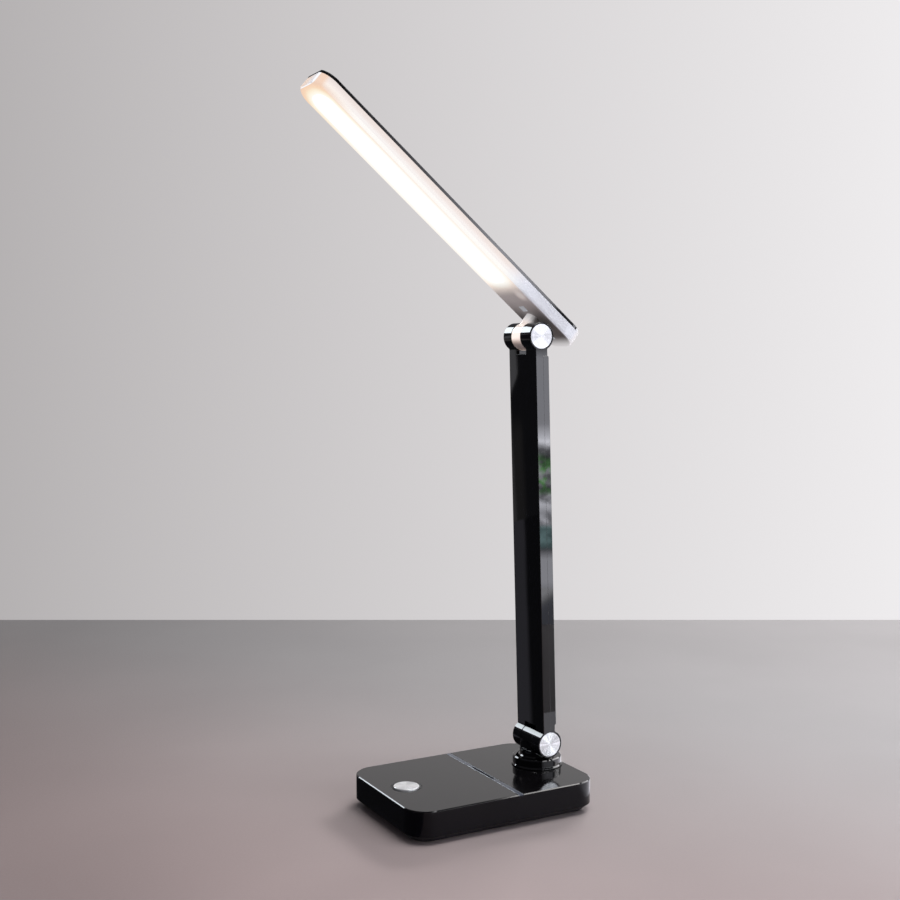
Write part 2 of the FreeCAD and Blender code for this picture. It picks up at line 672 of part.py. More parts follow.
def knuckle_profile(front, rear, reach):
    """Side view of a knuckle on the origin: a round end that blends into two flat flanks up to a height."""
    def tangents(offset, sign):
        grown = KNUCKLE_RADIUS + KNUCKLE_BLEND
        height = math.sqrt(grown ** 2 - (offset + KNUCKLE_BLEND) ** 2)
        share = KNUCKLE_RADIUS / grown
        on_circle = Vector(sign * (offset + KNUCKLE_BLEND) * share, 0, height * share)
        centre = Vector(sign * (offset + KNUCKLE_BLEND), 0, height)
        on_flank = Vector(sign * offset, 0, height)
        half_way = (on_circle + on_flank) * (1 / 2) - centre
        half_way.normalize()
        return on_circle, centre + half_way * KNUCKLE_BLEND, on_flank

    front_points = tangents(front, -1)
    rear_points = tangents(rear, 1)
    edges = [Part.Arc(*front_points).toShape(),
             Part.LineSegment(front_points[2], Vector(-front, 0, reach)).toShape(),
             Part.LineSegment(Vector(-front, 0, reach), Vector(rear, 0, reach)).toShape(),
             Part.LineSegment(Vector(rear, 0, reach), rear_points[2]).toShape(),
             Part.Arc(rear_points[2], rear_points[1], rear_points[0]).toShape(),
             Part.Arc(rear_points[0], Vector(0, 0, -KNUCKLE_RADIUS), front_points[0]).toShape()]
    return Part.Face(Part.Wire(edges))


def knuckle(slot_low, slot_high):
    """Forked end of the arm on the origin, with two ears, hinge bores and a pocket for each cap."""
    half = ARM_WIDTH / 2
    front = ARM_DEPTH / 2
    rear = front - KNUCKLE_REAR_STEP
    body = knuckle_profile(front, rear, KNUCKLE_LENGTH).extrude(Vector(0, ARM_WIDTH, 0))
    body.translate(Vector(0, -half, 0))
    rims = edges_at(body, lambda p: near(abs(p.y), half) and near(p.Length, math.hypot(half, KNUCKLE_RADIUS)))
    body = body.makeChamfer(EAR_BEVEL, rims)
    reach = KNUCKLE_RADIUS + OVERRUN
    for side in (-1, 1):
        inner, outer = side * (half - KNUCKLE_SIDE_STEP), side * (half + OVERRUN)
        y0, y1 = sorted((inner, outer))
        body = body.cut(block(ARM_SEAM, reach, y0, y1, KNUCKLE_RADIUS, KNUCKLE_LENGTH + OVERRUN))
        y0, y1 = sorted((side * (half - CAP_POCKET_DEPTH), outer))
        body = body.cut(crosswise(0, 0, y0, y1, CAP_RADIUS + FIT_GAP))
    body = body.cut(block(-reach, reach, slot_low, slot_high, -reach, FORK_DEPTH))
    body = body.cut(crosswise(0, 0, -half, half, PIN_RADIUS + SEAT_GAP))
    recess = FRICTION_THICKNESS - (FORK_GAP - SEAT_GAP)
    body = body.cut(crosswise(0, 0, slot_low - recess, slot_high + recess, FRICTION_RADIUS + FIT_GAP))
    lead_middle = lead_depth()
    depth, width = LEAD_WINDOW_DEPTH / 2, LEAD_WINDOW_WIDTH / 2
    window = block(lead_middle - depth, lead_middle + depth, -width, width,
                   FORK_DEPTH - OVERRUN, KNUCKLE_LENGTH + OVERRUN)
    return body.cut(window)


def lead_depth():
    """Depth of the lead's middle in the arm, just off the front wall."""
    return -ARM_DEPTH / 2 + ARM_WALL + LEAD_RADIUS + FIT_GAP


def fork_slots():
    """Sides of the two fork slots: the post's tongue below, the head's tongue above."""
    lower = LOWER_TONGUE_WIDTH / 2 + FORK_GAP
    upper = UPPER_TONGUE_WIDTH / 2 + FORK_GAP
    return (-lower, lower), (UPPER_TONGUE_SHIFT - upper, UPPER_TONGUE_SHIFT + upper)


def flip_to_top(shape):
    """Turns a lower knuckle piece over to the arm's other end, front side kept to the front."""
    turned = shape.copy()
    return turned.mirror(Vector(0, 0, ARM_LENGTH / 2), Vector(0, 0, 1))


def arm_front_shell():
    """Front of the arm: a shallow channel between two forked knuckles."""
    half = ARM_WIDTH / 2
    front = ARM_DEPTH / 2
    z0, z1 = KNUCKLE_LENGTH, ARM_LENGTH - KNUCKLE_LENGTH
    channel = block(-front, ARM_SEAM, -half, half, z0, z1)
    edge = edges_at(channel, lambda p: near(p.x, -front) and near(abs(p.y), half))
    channel = channel.makeChamfer(ARM_EDGE, edge)
    inner = half - ARM_WALL
    channel = channel.cut(block(-front + ARM_WALL, ARM_SEAM + OVERRUN, -inner, inner, z0, z1))
    lower, upper = fork_slots()
    shell = channel.fuse(knuckle(*lower)).fuse(flip_to_top(knuckle(*upper)))
    return shell.removeSplitter()


def arm_rear_cover():
    """Rear of the arm: a lid with end walls and clips that reach into the channel."""
    half = ARM_WIDTH / 2
    rear = ARM_DEPTH / 2
    z0, z1 = KNUCKLE_LENGTH + FIT_GAP, ARM_LENGTH - KNUCKLE_LENGTH - FIT_GAP
    lid = block(ARM_SEAM, rear, -half, half, z0, z1)
    rims = edges_at(lid, lambda p: near(p.x, rear) and (near(p.z, z0) or near(p.z, z1)))
    lid = lid.makeChamfer(COVER_END_BEVEL, rims)
    inner = half - ARM_WALL
    lid = lid.cut(block(ARM_SEAM - OVERRUN, rear - ARM_WALL, -inner, inner, z0 + ARM_WALL, z1 - ARM_WALL))
    first, last = z0 + CLIP_MARGIN, z1 - CLIP_MARGIN - CLIP_LENGTH
    for k in range(CLIP_COUNT):
        z = first + (last - first) * k / (CLIP_COUNT - 1)
        for side in (-1, 1):
            y0, y1 = sorted((side * (inner - FIT_GAP), side * (inner - FIT_GAP - CLIP_THICKNESS)))
            clip = block(ARM_SEAM - CLIP_REACH, rear - ARM_WALL, y0, y1, z, z + CLIP_LENGTH)
            y0, y1 = sorted((side * (inner - FIT_GAP - CLIP_THICKNESS), side * (inner + FIT_GAP)))
            root = block(ARM_SEAM + FIT_GAP, rear - ARM_WALL, y0, y1, z, z + CLIP_LENGTH)
            lid = lid.fuse(clip).fuse(root)
    return lid.removeSplitter()


def arm_wire_lead():
    """Twin lead inside the arm, from one knuckle to the other."""
    z0, z1 = FORK_DEPTH + FIT_GAP, ARM_LENGTH - FORK_DEPTH - FIT_GAP
    y = LEAD_RADIUS + SEAT_GAP
    made = [upright(lead_depth(), side * y, z0, z1, LEAD_RADIUS) for side in (-1, 1)]
    return Part.makeCompound(made)


def hinge_pin():
    """Headed pin that crosses both ears, with a key recess in its head."""
    head_face = -(ARM_WIDTH / 2 - CAP_POCKET_DEPTH)
    nut_end = ARM_WIDTH / 2 - CAP_RECESS - CAP_THICKNESS - LOOSE_GAP
    shank = crosswise(0, 0, head_face - SEAT_GAP, nut_end, PIN_RADIUS)
    head = crosswise(0, 0, head_face - PIN_HEAD_THICKNESS, head_face, PIN_HEAD_RADIUS)
    key = hexagon(PIN_KEY_FLATS, PIN_KEY_DEPTH + OVERRUN)
    key.rotate(Vector(0, 0, 0), Vector(1, 0, 0), -90)
    key.translate(Vector(0, head_face - PIN_HEAD_THICKNESS - OVERRUN, 0))
    return shank.fuse(head).cut(key)


def hinge_nut():
    end = ARM_WIDTH / 2 - CAP_RECESS - CAP_THICKNESS - LOOSE_GAP
    nut = hexagon(HINGE_NUT_FLATS, HINGE_NUT_THICKNESS)
    nut.rotate(Vector(0, 0, 0), Vector(1, 0, 0), -90)
    nut.translate(Vector(0, end - HINGE_NUT_THICKNESS, 0))
    return nut.cut(crosswise(0, 0, end - HINGE_NUT_THICKNESS - OVERRUN, end + OVERRUN, PIN_RADIUS))


def hinge_spring_washers():
    """Two dished washers, rim to rim, between the ear and the nut."""
    bore = PIN_RADIUS + FIT_GAP
    start = ARM_WIDTH / 2 - CAP_POCKET_DEPTH
    thick, cone = SPRING_WASHER_THICKNESS, SPRING_WASHER_CONE
    outer = SPRING_WASHER_RADIUS
    made = []
    for lift, tilt in ((0, cone), (thick + cone + SEAT_GAP, -cone)):
        rim = start + lift + max(tilt, 0)
        eye = start + lift + max(-tilt, 0)
        profile = [Vector(bore, eye, 0), Vector(outer, rim, 0), Vector(outer, rim + thick, 0),
                   Vector(bore, eye + thick, 0), Vector(bore, eye, 0)]
        made.append(Part.Face(Part.makePolygon(profile)).revolve(Vector(0, 0, 0), Vector(0, 1, 0), 360))
    return Part.makeCompound(made)


def hinge_friction_discs(slot):
    """Fibre rings that rub on the tongue, one sunk in each ear."""
    made = []
    for face, sign in ((slot[0], -1), (slot[1], 1)):
        rubbing = face - sign * (FORK_GAP - SEAT_GAP)
        y0, y1 = sorted((rubbing, rubbing + sign * FRICTION_THICKNESS))
        disc = crosswise(0, 0, y0, y1, FRICTION_RADIUS)
        made.append(disc.cut(crosswise(0, 0, y0 - OVERRUN, y1 + OVERRUN, PIN_RADIUS + FIT_GAP)))
    return Part.makeCompound(made)


def hinge_caps():
    """Spun metal discs that close the ears."""
    made = []
    for side in (-1, 1):
        face = side * (ARM_WIDTH / 2 - CAP_RECESS)
        y0, y1 = sorted((face, face - side * CAP_THICKNESS))
        cap = crosswise(0, 0, y0, y1, CAP_RADIUS)
        made.append(cap.makeChamfer(CAP_BEVEL, edges_at(cap, lambda p: near(p.y, face))))
    return Part.makeCompound(made)


def head_slab(inset, z0, z1):
    """Plate that follows the head's outline, drawn in by an inset, with its tip towards -X."""
    half = HEAD_WIDTH / 2 - inset
    return rounded_slab(-HEAD_TIP + inset, HEAD_REAR - inset, -half, half, z0, z1, HEAD_CORNER - inset)


def trim_end(shape, inset):
    """Cuts the head's round tip off flat, at an inset from its end face."""
    half = HEAD_WIDTH / 2 + OVERRUN
    face = HEAD_END_CUT - HEAD_TIP + inset
    return shape.cut(block(-HEAD_TIP - OVERRUN, face, -half, half, HEAD_UNDER - OVERRUN, HEAD_TOP + OVERRUN))


def tongue_column(grow, z0, z1):
    """Upright column with round ends that joins the head's tongue to the head."""
    half = UPPER_TONGUE_WIDTH / 2 + grow
    reach = TONGUE_ROOT_REACH + grow
    y0, y1 = UPPER_TONGUE_SHIFT - half, UPPER_TONGUE_SHIFT + half
    return rounded_slab(-reach, reach, y0, y1, z0, z1, half - SEAT_GAP)


def plug_block(side, grow, z0, z1):
    x = side * PLUG_PLACE
    length, width = PLUG_LENGTH / 2 + grow, PLUG_WIDTH / 2 + grow
    return block(x - length, x + length, UPPER_TONGUE_SHIFT - width, UPPER_TONGUE_SHIFT + width, z0, z1)


def head_diffuser():
    """Milky tray: the lit underside, the side walls and the rear border that stands up to the top."""
    border = HEAD_REAR - HEAD_REAR_BORDER
    tray = head_slab(0, HEAD_UNDER, HEAD_TOP)
    tray = tray.makeFillet(HEAD_UNDER_FILLET, edges_at(tray, lambda p: near(p.z, HEAD_UNDER)))
    rear_rim = edges_at(tray, lambda p: near(p.z, HEAD_TOP) and p.x > border)
    tray = tray.makeFillet(HEAD_REAR_FILLET, rear_rim)
    tray = trim_end(tray, 0)
    end = HEAD_END_CUT - HEAD_TIP
    end_rim = edges_at(tray, lambda p: near(p.x, end) and p.z < TRAY_TOP - HEAD_EDGE_BEVEL)
    tray = tray.makeChamfer(HEAD_EDGE_BEVEL, end_rim)
    half = HEAD_WIDTH / 2 + OVERRUN
    tray = tray.cut(block(-HEAD_TIP - OVERRUN, border, -half, half, TRAY_TOP, HEAD_TOP + OVERRUN))
    tray = tray.cut(trim_end(head_slab(HEAD_WALL, TRAY_FLOOR, TRAY_TOP + OVERRUN), HEAD_WALL))
    closing = head_slab(HEAD_WALL, TRAY_TOP - HEAD_WALL, TRAY_TOP + OVERRUN)
    closing = closing.common(block(border, HEAD_REAR, -half, half, TRAY_TOP - HEAD_WALL, HEAD_TOP - SEAT_GAP))
    tray = tray.fuse(closing)
    tray = tray.cut(tongue_column(FIT_GAP, HEAD_UNDER - OVERRUN, TRAY_FLOOR + OVERRUN))
    for side in (-1, 1):
        tray = tray.cut(plug_block(side, SEAT_GAP, HEAD_UNDER - OVERRUN, TRAY_FLOOR + OVERRUN))
    return tray


def head_tongue():
    """Milky hinge tongue: a round eye, a column with round ends and a flange inside the tray."""
    low = UPPER_TONGUE_SHIFT - UPPER_TONGUE_WIDTH / 2
    high = UPPER_TONGUE_SHIFT + UPPER_TONGUE_WIDTH / 2
    eye = crosswise(0, 0, low, high, TONGUE_RADIUS)
    column = tongue_column(0, TONGUE_ROOT_START, TRAY_FLOOR + OVERRUN)
    half = TONGUE_FLANGE_WIDTH / 2
    top = TRAY_FLOOR + TONGUE_FLANGE_THICKNESS
    flange = block(-TONGUE_FLANGE_REACH, TONGUE_FLANGE_REACH,
                   UPPER_TONGUE_SHIFT - half, UPPER_TONGUE_SHIFT + half, TRAY_FLOOR, top)
    body = eye.fuse(column).fuse(flange)
    body = body.cut(crosswise(0, 0, low - OVERRUN, high + OVERRUN, PIN_RADIUS + RUNNING_GAP))
    for side in (-1, 1):
        x, y = side * PLUG_PLACE, UPPER_TONGUE_SHIFT
        head_top = TRAY_FLOOR + SCREW_HEAD_DEPTH + SEAT_GAP
        body = body.cut(upright(x, y, TRAY_FLOOR - OVERRUN, top + OVERRUN, SCREW_RADIUS + FIT_GAP))
        body = body.cut(upright(x, y, TRAY_FLOOR - OVERRUN, head_top, SCREW_HEAD_RADIUS + FIT_GAP))
    return body.removeSplitter()


def tongue_screws():
    """Screws that draw the tongue's flange up to the top cover's posts."""
    z = TRAY_FLOOR + SEAT_GAP
    length = TRAY_TOP - HEAD_WALL - TRAY_FLOOR
    made = [screw(side * PLUG_PLACE, UPPER_TONGUE_SHIFT, z, SCREW_HEAD_DEPTH, length, SCREW_RADIUS,
                  SCREW_HEAD_RADIUS) for side in (-1, 1)]
    return Part.makeCompound(made)


def tongue_screw_plugs():
    """Small plugs that close the screw holes in the underside."""
    return Part.makeCompound([plug_block(side, 0, HEAD_UNDER, TRAY_FLOOR - SEAT_GAP) for side in (-1, 1)])


def head_top_cover():
    """Thin black top of the head, with a lip inside the tray and posts for the screws."""
    border = HEAD_REAR - HEAD_REAR_BORDER - FIT_GAP
    half = HEAD_WIDTH / 2 + OVERRUN
    keep = block(-HEAD_TIP - OVERRUN, border, -half, half, TRAY_TOP - HEAD_DEPTH, HEAD_TOP + OVERRUN)
    plate = trim_end(head_slab(0, TRAY_TOP, HEAD_TOP), 0)
    plate = plate.makeChamfer(HEAD_COVER_BEVEL, edges_at(plate, lambda p: near(p.z, HEAD_TOP)))
    lip_inset = HEAD_WALL + FIT_GAP
    lip = trim_end(head_slab(lip_inset, TRAY_TOP - HEAD_LIP_DEPTH, TRAY_TOP), lip_inset)
    inner = lip_inset + HEAD_LIP_THICKNESS
    lip = lip.cut(trim_end(head_slab(inner, TRAY_TOP - HEAD_LIP_DEPTH - OVERRUN, TRAY_TOP), inner))
    cover = plate.fuse(lip).common(keep)
    flange_top = TRAY_FLOOR + TONGUE_FLANGE_THICKNESS
    for side in (-1, 1):
        x, y = side * PLUG_PLACE, UPPER_TONGUE_SHIFT
        cover = cover.fuse(upright(x, y, flange_top, TRAY_TOP + SEAT_GAP, COVER_POST_RADIUS))
        cover = cover.cut(upright(x, y, flange_top - OVERRUN, TRAY_TOP - HEAD_WALL + FIT_GAP, SCREW_RADIUS))
    pilot_top = light_screw_head() + LIGHT_SCREW_LENGTH
    for x in light_screw_places():
        cover = cover.fuse(upright(x, 0, light_board_top(), TRAY_TOP + SEAT_GAP, COVER_POST_RADIUS))
        cover = cover.cut(upright(x, 0, light_board_top() - OVERRUN, pilot_top, LIGHT_SCREW_RADIUS))
    return cover.removeSplitter()


def reflector_span():
    """Outer ends of the reflector along the head, tip end first."""
    return -(HEAD_TIP - HEAD_WALL - REFLECTOR_END_GAP), -REFLECTOR_START


def light_board_top():
    return TRAY_FLOOR + FIT_GAP + REFLECTOR_HEIGHT + LED_BOARD_THICKNESS


def light_screw_head():
    """Height of the light screws' heads, which face down."""
    return light_board_top() - LED_BOARD_THICKNESS - LIGHT_SCREW_HEAD


def light_screw_places():
    x0, x1 = reflector_span()
    margin = REFLECTOR_WALL + LED_BOARD_END_GAP + LED_END_MARGIN
    span = x1 - x0 - margin - margin
    step = span / (LED_COLUMNS - 1)
    first = x0 + margin + step / 2
    last = x1 - margin - step / 2
    return [first + (last - first) * k / (LIGHT_SCREW_COUNT - 1) for k in range(LIGHT_SCREW_COUNT)]


def reflector():
    """White wall with round ends that frames the lit oval."""
    x0, x1 = reflector_span()
    half = REFLECTOR_WIDTH / 2
    z0 = TRAY_FLOOR + FIT_GAP
    z1 = z0 + REFLECTOR_HEIGHT
    wall = rounded_slab(x0, x1, -half, half, z0, z1, half - SEAT_GAP)
    inner = half - REFLECTOR_WALL
    hollow = rounded_slab(x0 + REFLECTOR_WALL, x1 - REFLECTOR_WALL, -inner, inner, z0 - OVERRUN, z1 + OVERRUN,
                          inner - SEAT_GAP)
    wall = wall.cut(hollow)
    ledge = rounded_slab(x0, x1, -half, half, z1 - REFLECTOR_WALL, z1, half - SEAT_GAP)
    board = LED_BOARD_WIDTH / 2 - REFLECTOR_WALL
    window = rounded_slab(x0 + half, x1 - half, -board, board, z1 - REFLECTOR_WALL - OVERRUN, z1 + OVERRUN,
                          REFLECTOR_WALL)
    return wall.fuse(ledge.cut(window)).removeSplitter()


def led_board():
    """Metal-backed strip that carries the light-emitting chips, under the cover."""
    x0, x1 = reflector_span()
    end = REFLECTOR_WALL + LED_BOARD_END_GAP
    half = LED_BOARD_WIDTH / 2
    z1 = light_board_top()
    z0 = z1 - LED_BOARD_THICKNESS
    board = block(x0 + end, x1 - end, -half, half, z0, z1)
    for x in light_screw_places():
        board = board.cut(upright(x, 0, z0 - OVERRUN, z1 + OVERRUN, LIGHT_SCREW_RADIUS + FIT_GAP))
    return board


def led_chips():
    """Two rows of light-emitting chips that face down."""
    x0, x1 = reflector_span()
    half = REFLECTOR_WIDTH / 2
    first, last = x0 + half + LED_LENGTH, x1 - half - LED_LENGTH
    top = light_board_top() - LED_BOARD_THICKNESS
    made = []
    for k in range(LED_COLUMNS):
        x = first + (last - first) * k / (LED_COLUMNS - 1)
        for row in (-1, 1):
            y = row * LED_ROW_PLACE
            made.append(block(x - LED_LENGTH / 2, x + LED_LENGTH / 2, y - LED_WIDTH / 2, y + LED_WIDTH / 2,
                              top - LED_THICKNESS, top))
    return Part.makeCompound(made)


def light_screws():
    z = light_screw_head()
    made = [screw(x, 0, z, LIGHT_SCREW_HEAD, LIGHT_SCREW_LENGTH, LIGHT_SCREW_RADIUS, LIGHT_SCREW_HEAD_RADIUS)
            for x in light_screw_places()]
    return Part.makeCompound(made)


# Base
save("base_housing", base_housing())
save("divider_strip", divider_strip())
save("base_bottom_cover", base_bottom_cover())
save("anti_slip_pad", anti_slip_pad())
save("base_screws", base_screws())
save("ballast_plate", ballast_plate())
save("battery_pack", battery_pack())
save("main_circuit_board", main_circuit_board())
save("port_board", port_board())
save("board_screws", board_screws())
save("charging_socket", charging_socket())
save("tactile_switch", tactile_switch())
save("button_bezel", button_bezel())
save("swivel_bush", swivel_bush())

# Button
save("power_button", power_button())
save("button_plunger", button_plunger())

# Turning post
save("turntable_post", turntable_post())
save("glide_washer", glide_washer())
save("swivel_tube", swivel_tube())
save("swivel_washer", swivel_washer())
save("swivel_nut", swivel_nut())

# Arm and its two hinges
save("arm_front_shell", place_arm(arm_front_shell()))
save("arm_rear_cover", place_arm(arm_rear_cover()))
save("arm_wire_lead", place_arm(arm_wire_lead()))
for prefix, height, slot in zip(("lower_hinge", "upper_hinge"), (0, ARM_LENGTH), fork_slots()):
    pieces = {"pin": hinge_pin(), "nut": hinge_nut(), "spring_washers": hinge_spring_washers(),
              "friction_discs": hinge_friction_discs(slot), "caps": hinge_caps()}
    for name, shape in pieces.items():
        shape.translate(Vector(0, 0, height))
        save(prefix + "_" + name, place_arm(shape))

# Head
save("head_diffuser", place_head(head_diffuser()))
save("head_top_cover", place_head(head_top_cover()))
save("head_tongue", place_head(head_tongue()))
save("tongue_screws", place_head(tongue_screws()))
save("tongue_screw_plugs", place_head(tongue_screw_plugs()))
save("reflector", place_head(reflector()))
save("led_board", place_head(led_board()))
save("led_chips", place_head(led_chips()))
save("light_screws", place_head(light_screws()))
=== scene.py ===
import json
import math

import bpy
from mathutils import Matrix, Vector


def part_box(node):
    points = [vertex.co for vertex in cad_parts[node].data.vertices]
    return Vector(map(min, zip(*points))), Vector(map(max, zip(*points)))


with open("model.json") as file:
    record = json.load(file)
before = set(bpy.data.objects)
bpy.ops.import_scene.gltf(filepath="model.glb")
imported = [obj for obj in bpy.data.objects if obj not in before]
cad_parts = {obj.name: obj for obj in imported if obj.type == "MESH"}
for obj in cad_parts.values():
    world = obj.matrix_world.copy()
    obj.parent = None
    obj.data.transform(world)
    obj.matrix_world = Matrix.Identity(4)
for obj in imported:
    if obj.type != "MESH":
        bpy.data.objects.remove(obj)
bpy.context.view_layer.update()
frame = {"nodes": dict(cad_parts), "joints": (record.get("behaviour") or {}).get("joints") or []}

# Looks of the folding desk lamp. Lengths are in metres, in the row's frame, and colours are linear.
MM = 0.001
X, Y, Z = Vector((1, 0, 0)), Vector((0, 1, 0)), Vector((0, 0, 1))

# Places and directions that the materials measure from
JOINTS = {joint["name"]: joint for joint in frame["joints"]}
HEAD_TILT = math.radians(39.8)
ARM_LEAN = math.radians(1.75)
HEAD_PIVOT = Vector(JOINTS["head_fold"]["pos_m"])
ARM_PIVOT = Vector(JOINTS["arm_fold"]["pos_m"])
HEAD_ALONG = Vector((-math.cos(HEAD_TILT), 0, math.sin(HEAD_TILT)))
HEAD_OUT = Vector((math.sin(HEAD_TILT), 0, math.cos(HEAD_TILT)))
ARM_ALONG = Vector((-math.sin(ARM_LEAN), 0, math.cos(ARM_LEAN)))
ARM_BACK = Vector((math.cos(ARM_LEAN), 0, math.sin(ARM_LEAN)))
DECK_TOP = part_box("base_housing")[1].z

# Camera that took the photograph
CAMERA_PLACE = Vector((-0.42016, -0.72888, 0.30168))
CAMERA_AIM = Vector((0.4823, 0.8734, -0.0680))
CAMERA_LENS = 50.235
CAMERA_NEAR = 0.01
SENSOR = 36.0
LEVEL_AIM = Vector((CAMERA_AIM.x, CAMERA_AIM.y, 0)).normalized()
LEVEL_RIGHT = Vector((LEVEL_AIM.y, -LEVEL_AIM.x, 0))

# Floor: its painted shade at left and right, its colour in front and behind, and its painted pools of light
# (place to the right, place beyond, reach, gain)
ROOM_REACH = 4.0
FLOOR_LEFT = 0.24
FLOOR_RIGHT = 0.55
FLOOR_WARM = (1.0, 0.80, 0.79)
FLOOR_PLAIN = (1.0, 0.96, 0.97)
PAINTED_LIGHT_POOLS = ((-0.14, 0.05, 0.26, 1.20), (-0.05, -0.17, 0.20, 1.27))
# Wall, of which mirrors show the lower part alone; its glow is darker towards the left, a painted shade
WALL_COLOUR_LEFT = (1.0, 0.950, 0.955)
WALL_COLOUR_RIGHT = (1.0, 0.99, 1.005)
WALL_SHADE_LEFT = 0.29
WALL_SHADE_RIGHT = 1.04
WALL_DISTANCE = 0.628
WALL_LEFT = -1.02
WALL_RIGHT = 2.4
WALL_HEIGHT = 2.2
WALL_MIRRORED_HEIGHT = 0.38
# Even light from all sides, and what the camera sees past the room
WORLD_LIGHT = (0.11, 0.11, 0.12)
WORLD_SEEN = (0.70, 0.69, 0.70)
# Height of the flags and cards that lie over the floor
HOVER = 1.0 * MM
# Dark flag over the floor, painted shade that mirrors show in place of the floor: its reach to the right and
# beyond, and the line that its paler part begins at
FLOOR_FLAG_LATERAL = (-2.0, -0.04)
FLOOR_FLAG_DEPTH = (-0.14, WALL_DISTANCE)
FLAG_LINE_FOOT = LEVEL_RIGHT * -0.107 + LEVEL_AIM * 0.103
FLAG_LINE_ALONG = LEVEL_RIGHT * -0.874 + LEVEL_AIM * 0.486
FLAG_LINE_BEYOND = LEVEL_RIGHT * 0.486 + LEVEL_AIM * 0.874
# Card in front of the lamp: radiance by share of its height, and the share of it that lights the object,
# which fades in between two heights
CARD_PLACE = Vector((0.36, -0.78, 0.0))
CARD_ALONG = Vector((0.906, 0.423, 0.0))
CARD_HALF_WIDTH = 0.5
CARD_HEIGHT = 0.66
CARD_SHARE_FOR_LIGHT = 0.45
CARD_LIGHT_FADE = (0.04, 0.26)
CARD_LEVELS = [
    (0.0, 4.2), (0.014, 5.4), (0.060, 5.4), (0.080, 1.2), (0.105, 1.7), (0.122, 1.0), (0.140, 4.6),
    (0.156, 3.0), (0.172, 5.2), (0.188, 5.0), (0.205, 1.5), (0.225, 3.6), (0.27, 1.6), (0.285, 3.6),
    (0.302, 12.5), (0.318, 8.5), (0.335, 4.8), (0.345, 4.5), (0.47, 4.5), (0.495, 0.9), (0.565, 0.2),
    (0.585, 5.0), (0.61, 6.0), (0.68, 7.5), (0.75, 3.8), (0.85, 1.8), (0.95, 0.6), (1.0, 0.2)]
# Pale card over the floor beside the base: its reach in x and y, and its glow
GLOSS_PATCH = ((0.092, 0.40), (-0.20, 0.10))
GLOSS_PATCH_COLOUR = (1.0, 0.98, 1.06)
GLOSS_PATCH_RADIANCE = 1.85
# Floor before the front card's foot, as the arm's near side mirrors it: radiance by distance along a slant
FOOT_PLACE = Vector((0.498, -0.716, 0.0))
FOOT_TOWARD = Vector((-0.5425, 0.840, 0.0))
FOOT_ACROSS = Vector((0.840, 0.5425, 0.0))
FOOT_HALF_WIDTH = 0.05
FOOT_REACH = (-0.02, 0.24)
FOOT_SLANT = 3.87
FOOT_LEVELS = [
    (0.0, 4.2), (0.066, 4.1), (0.082, 3.35), (0.096, 2.9), (0.110, 2.2), (0.124, 1.6), (0.139, 1.25),
    (0.160, 1.05), (0.19, 0.90), (0.24, 0.84)]
# Far cards that mirrored rays alone meet: turn from +Y and rise in degrees, radiance from side to side,
# and whether only rays mirrored a single time meet them
MIRROR_CENTRE = Vector((0.045, 0.0, 0.2))
MIRROR_DISTANCE = 4.0
MIRRORED_CARDS = {
    "back_card": {"turn": (-28.0, 0.0), "rise": (19.0, 34.3), "radiance": (13.5, 6.5),
                  "colour": (0.88, 0.95, 1.0), "once": True},
    "right_card": {"turn": (70.0, 118.0), "rise": (12.0, 42.0), "radiance": (8.0, 8.0),
                   "colour": (1.0, 0.99, 1.0), "once": False},
}
# Area lamps
LIGHTS = {
    "soft_top": {"place": (0.90, -0.568, 1.27), "aim": (0.0, 0.0, 0.02), "size": (0.16, 0.19),
                 "radiance": 13.0, "colour": (1.0, 0.98, 0.96)},
    "soft_back": {"place": (3.0, 2.0, 2.0), "aim": (0.0, 0.0, 0.15), "size": (1.8, 0.7),
                  "radiance": 24.0, "colour": (1.0, 0.99, 0.98), "mirrored": False},
    "ceiling": {"place": (0.5, -0.2, 2.6), "aim": (0.0, 0.0, 0.0), "size": (1.6, 1.6),
                "radiance": 5.0, "colour": (1.0, 1.0, 1.0)},
}

# Looks of the spun hinge caps: one metal whose two colours differ as painted shade, the upper caps' darker
CAP_LOOKS = {
    "lower": {"colour": (0.60, 0.61, 0.62), "fan_shade": 0.70, "spin": 0.92},
    "upper": {"colour": (0.34, 0.34, 0.345), "fan_shade": 0.84, "spin": 0.70},
}
BOARD_GREEN = ((0.012, 0.10, 0.035), (0.02, 0.16, 0.06))

# Sockets of the Mix node for colours, and the range that a noise mostly keeps to
MIX_FACTOR, MIX_A, MIX_B, MIX_RESULT = 0, 6, 7, 2
NOISE_LOW, NOISE_HIGH = 0.3, 0.7


def scaled(colour, factor):
    return tuple(factor * c for c in colour)


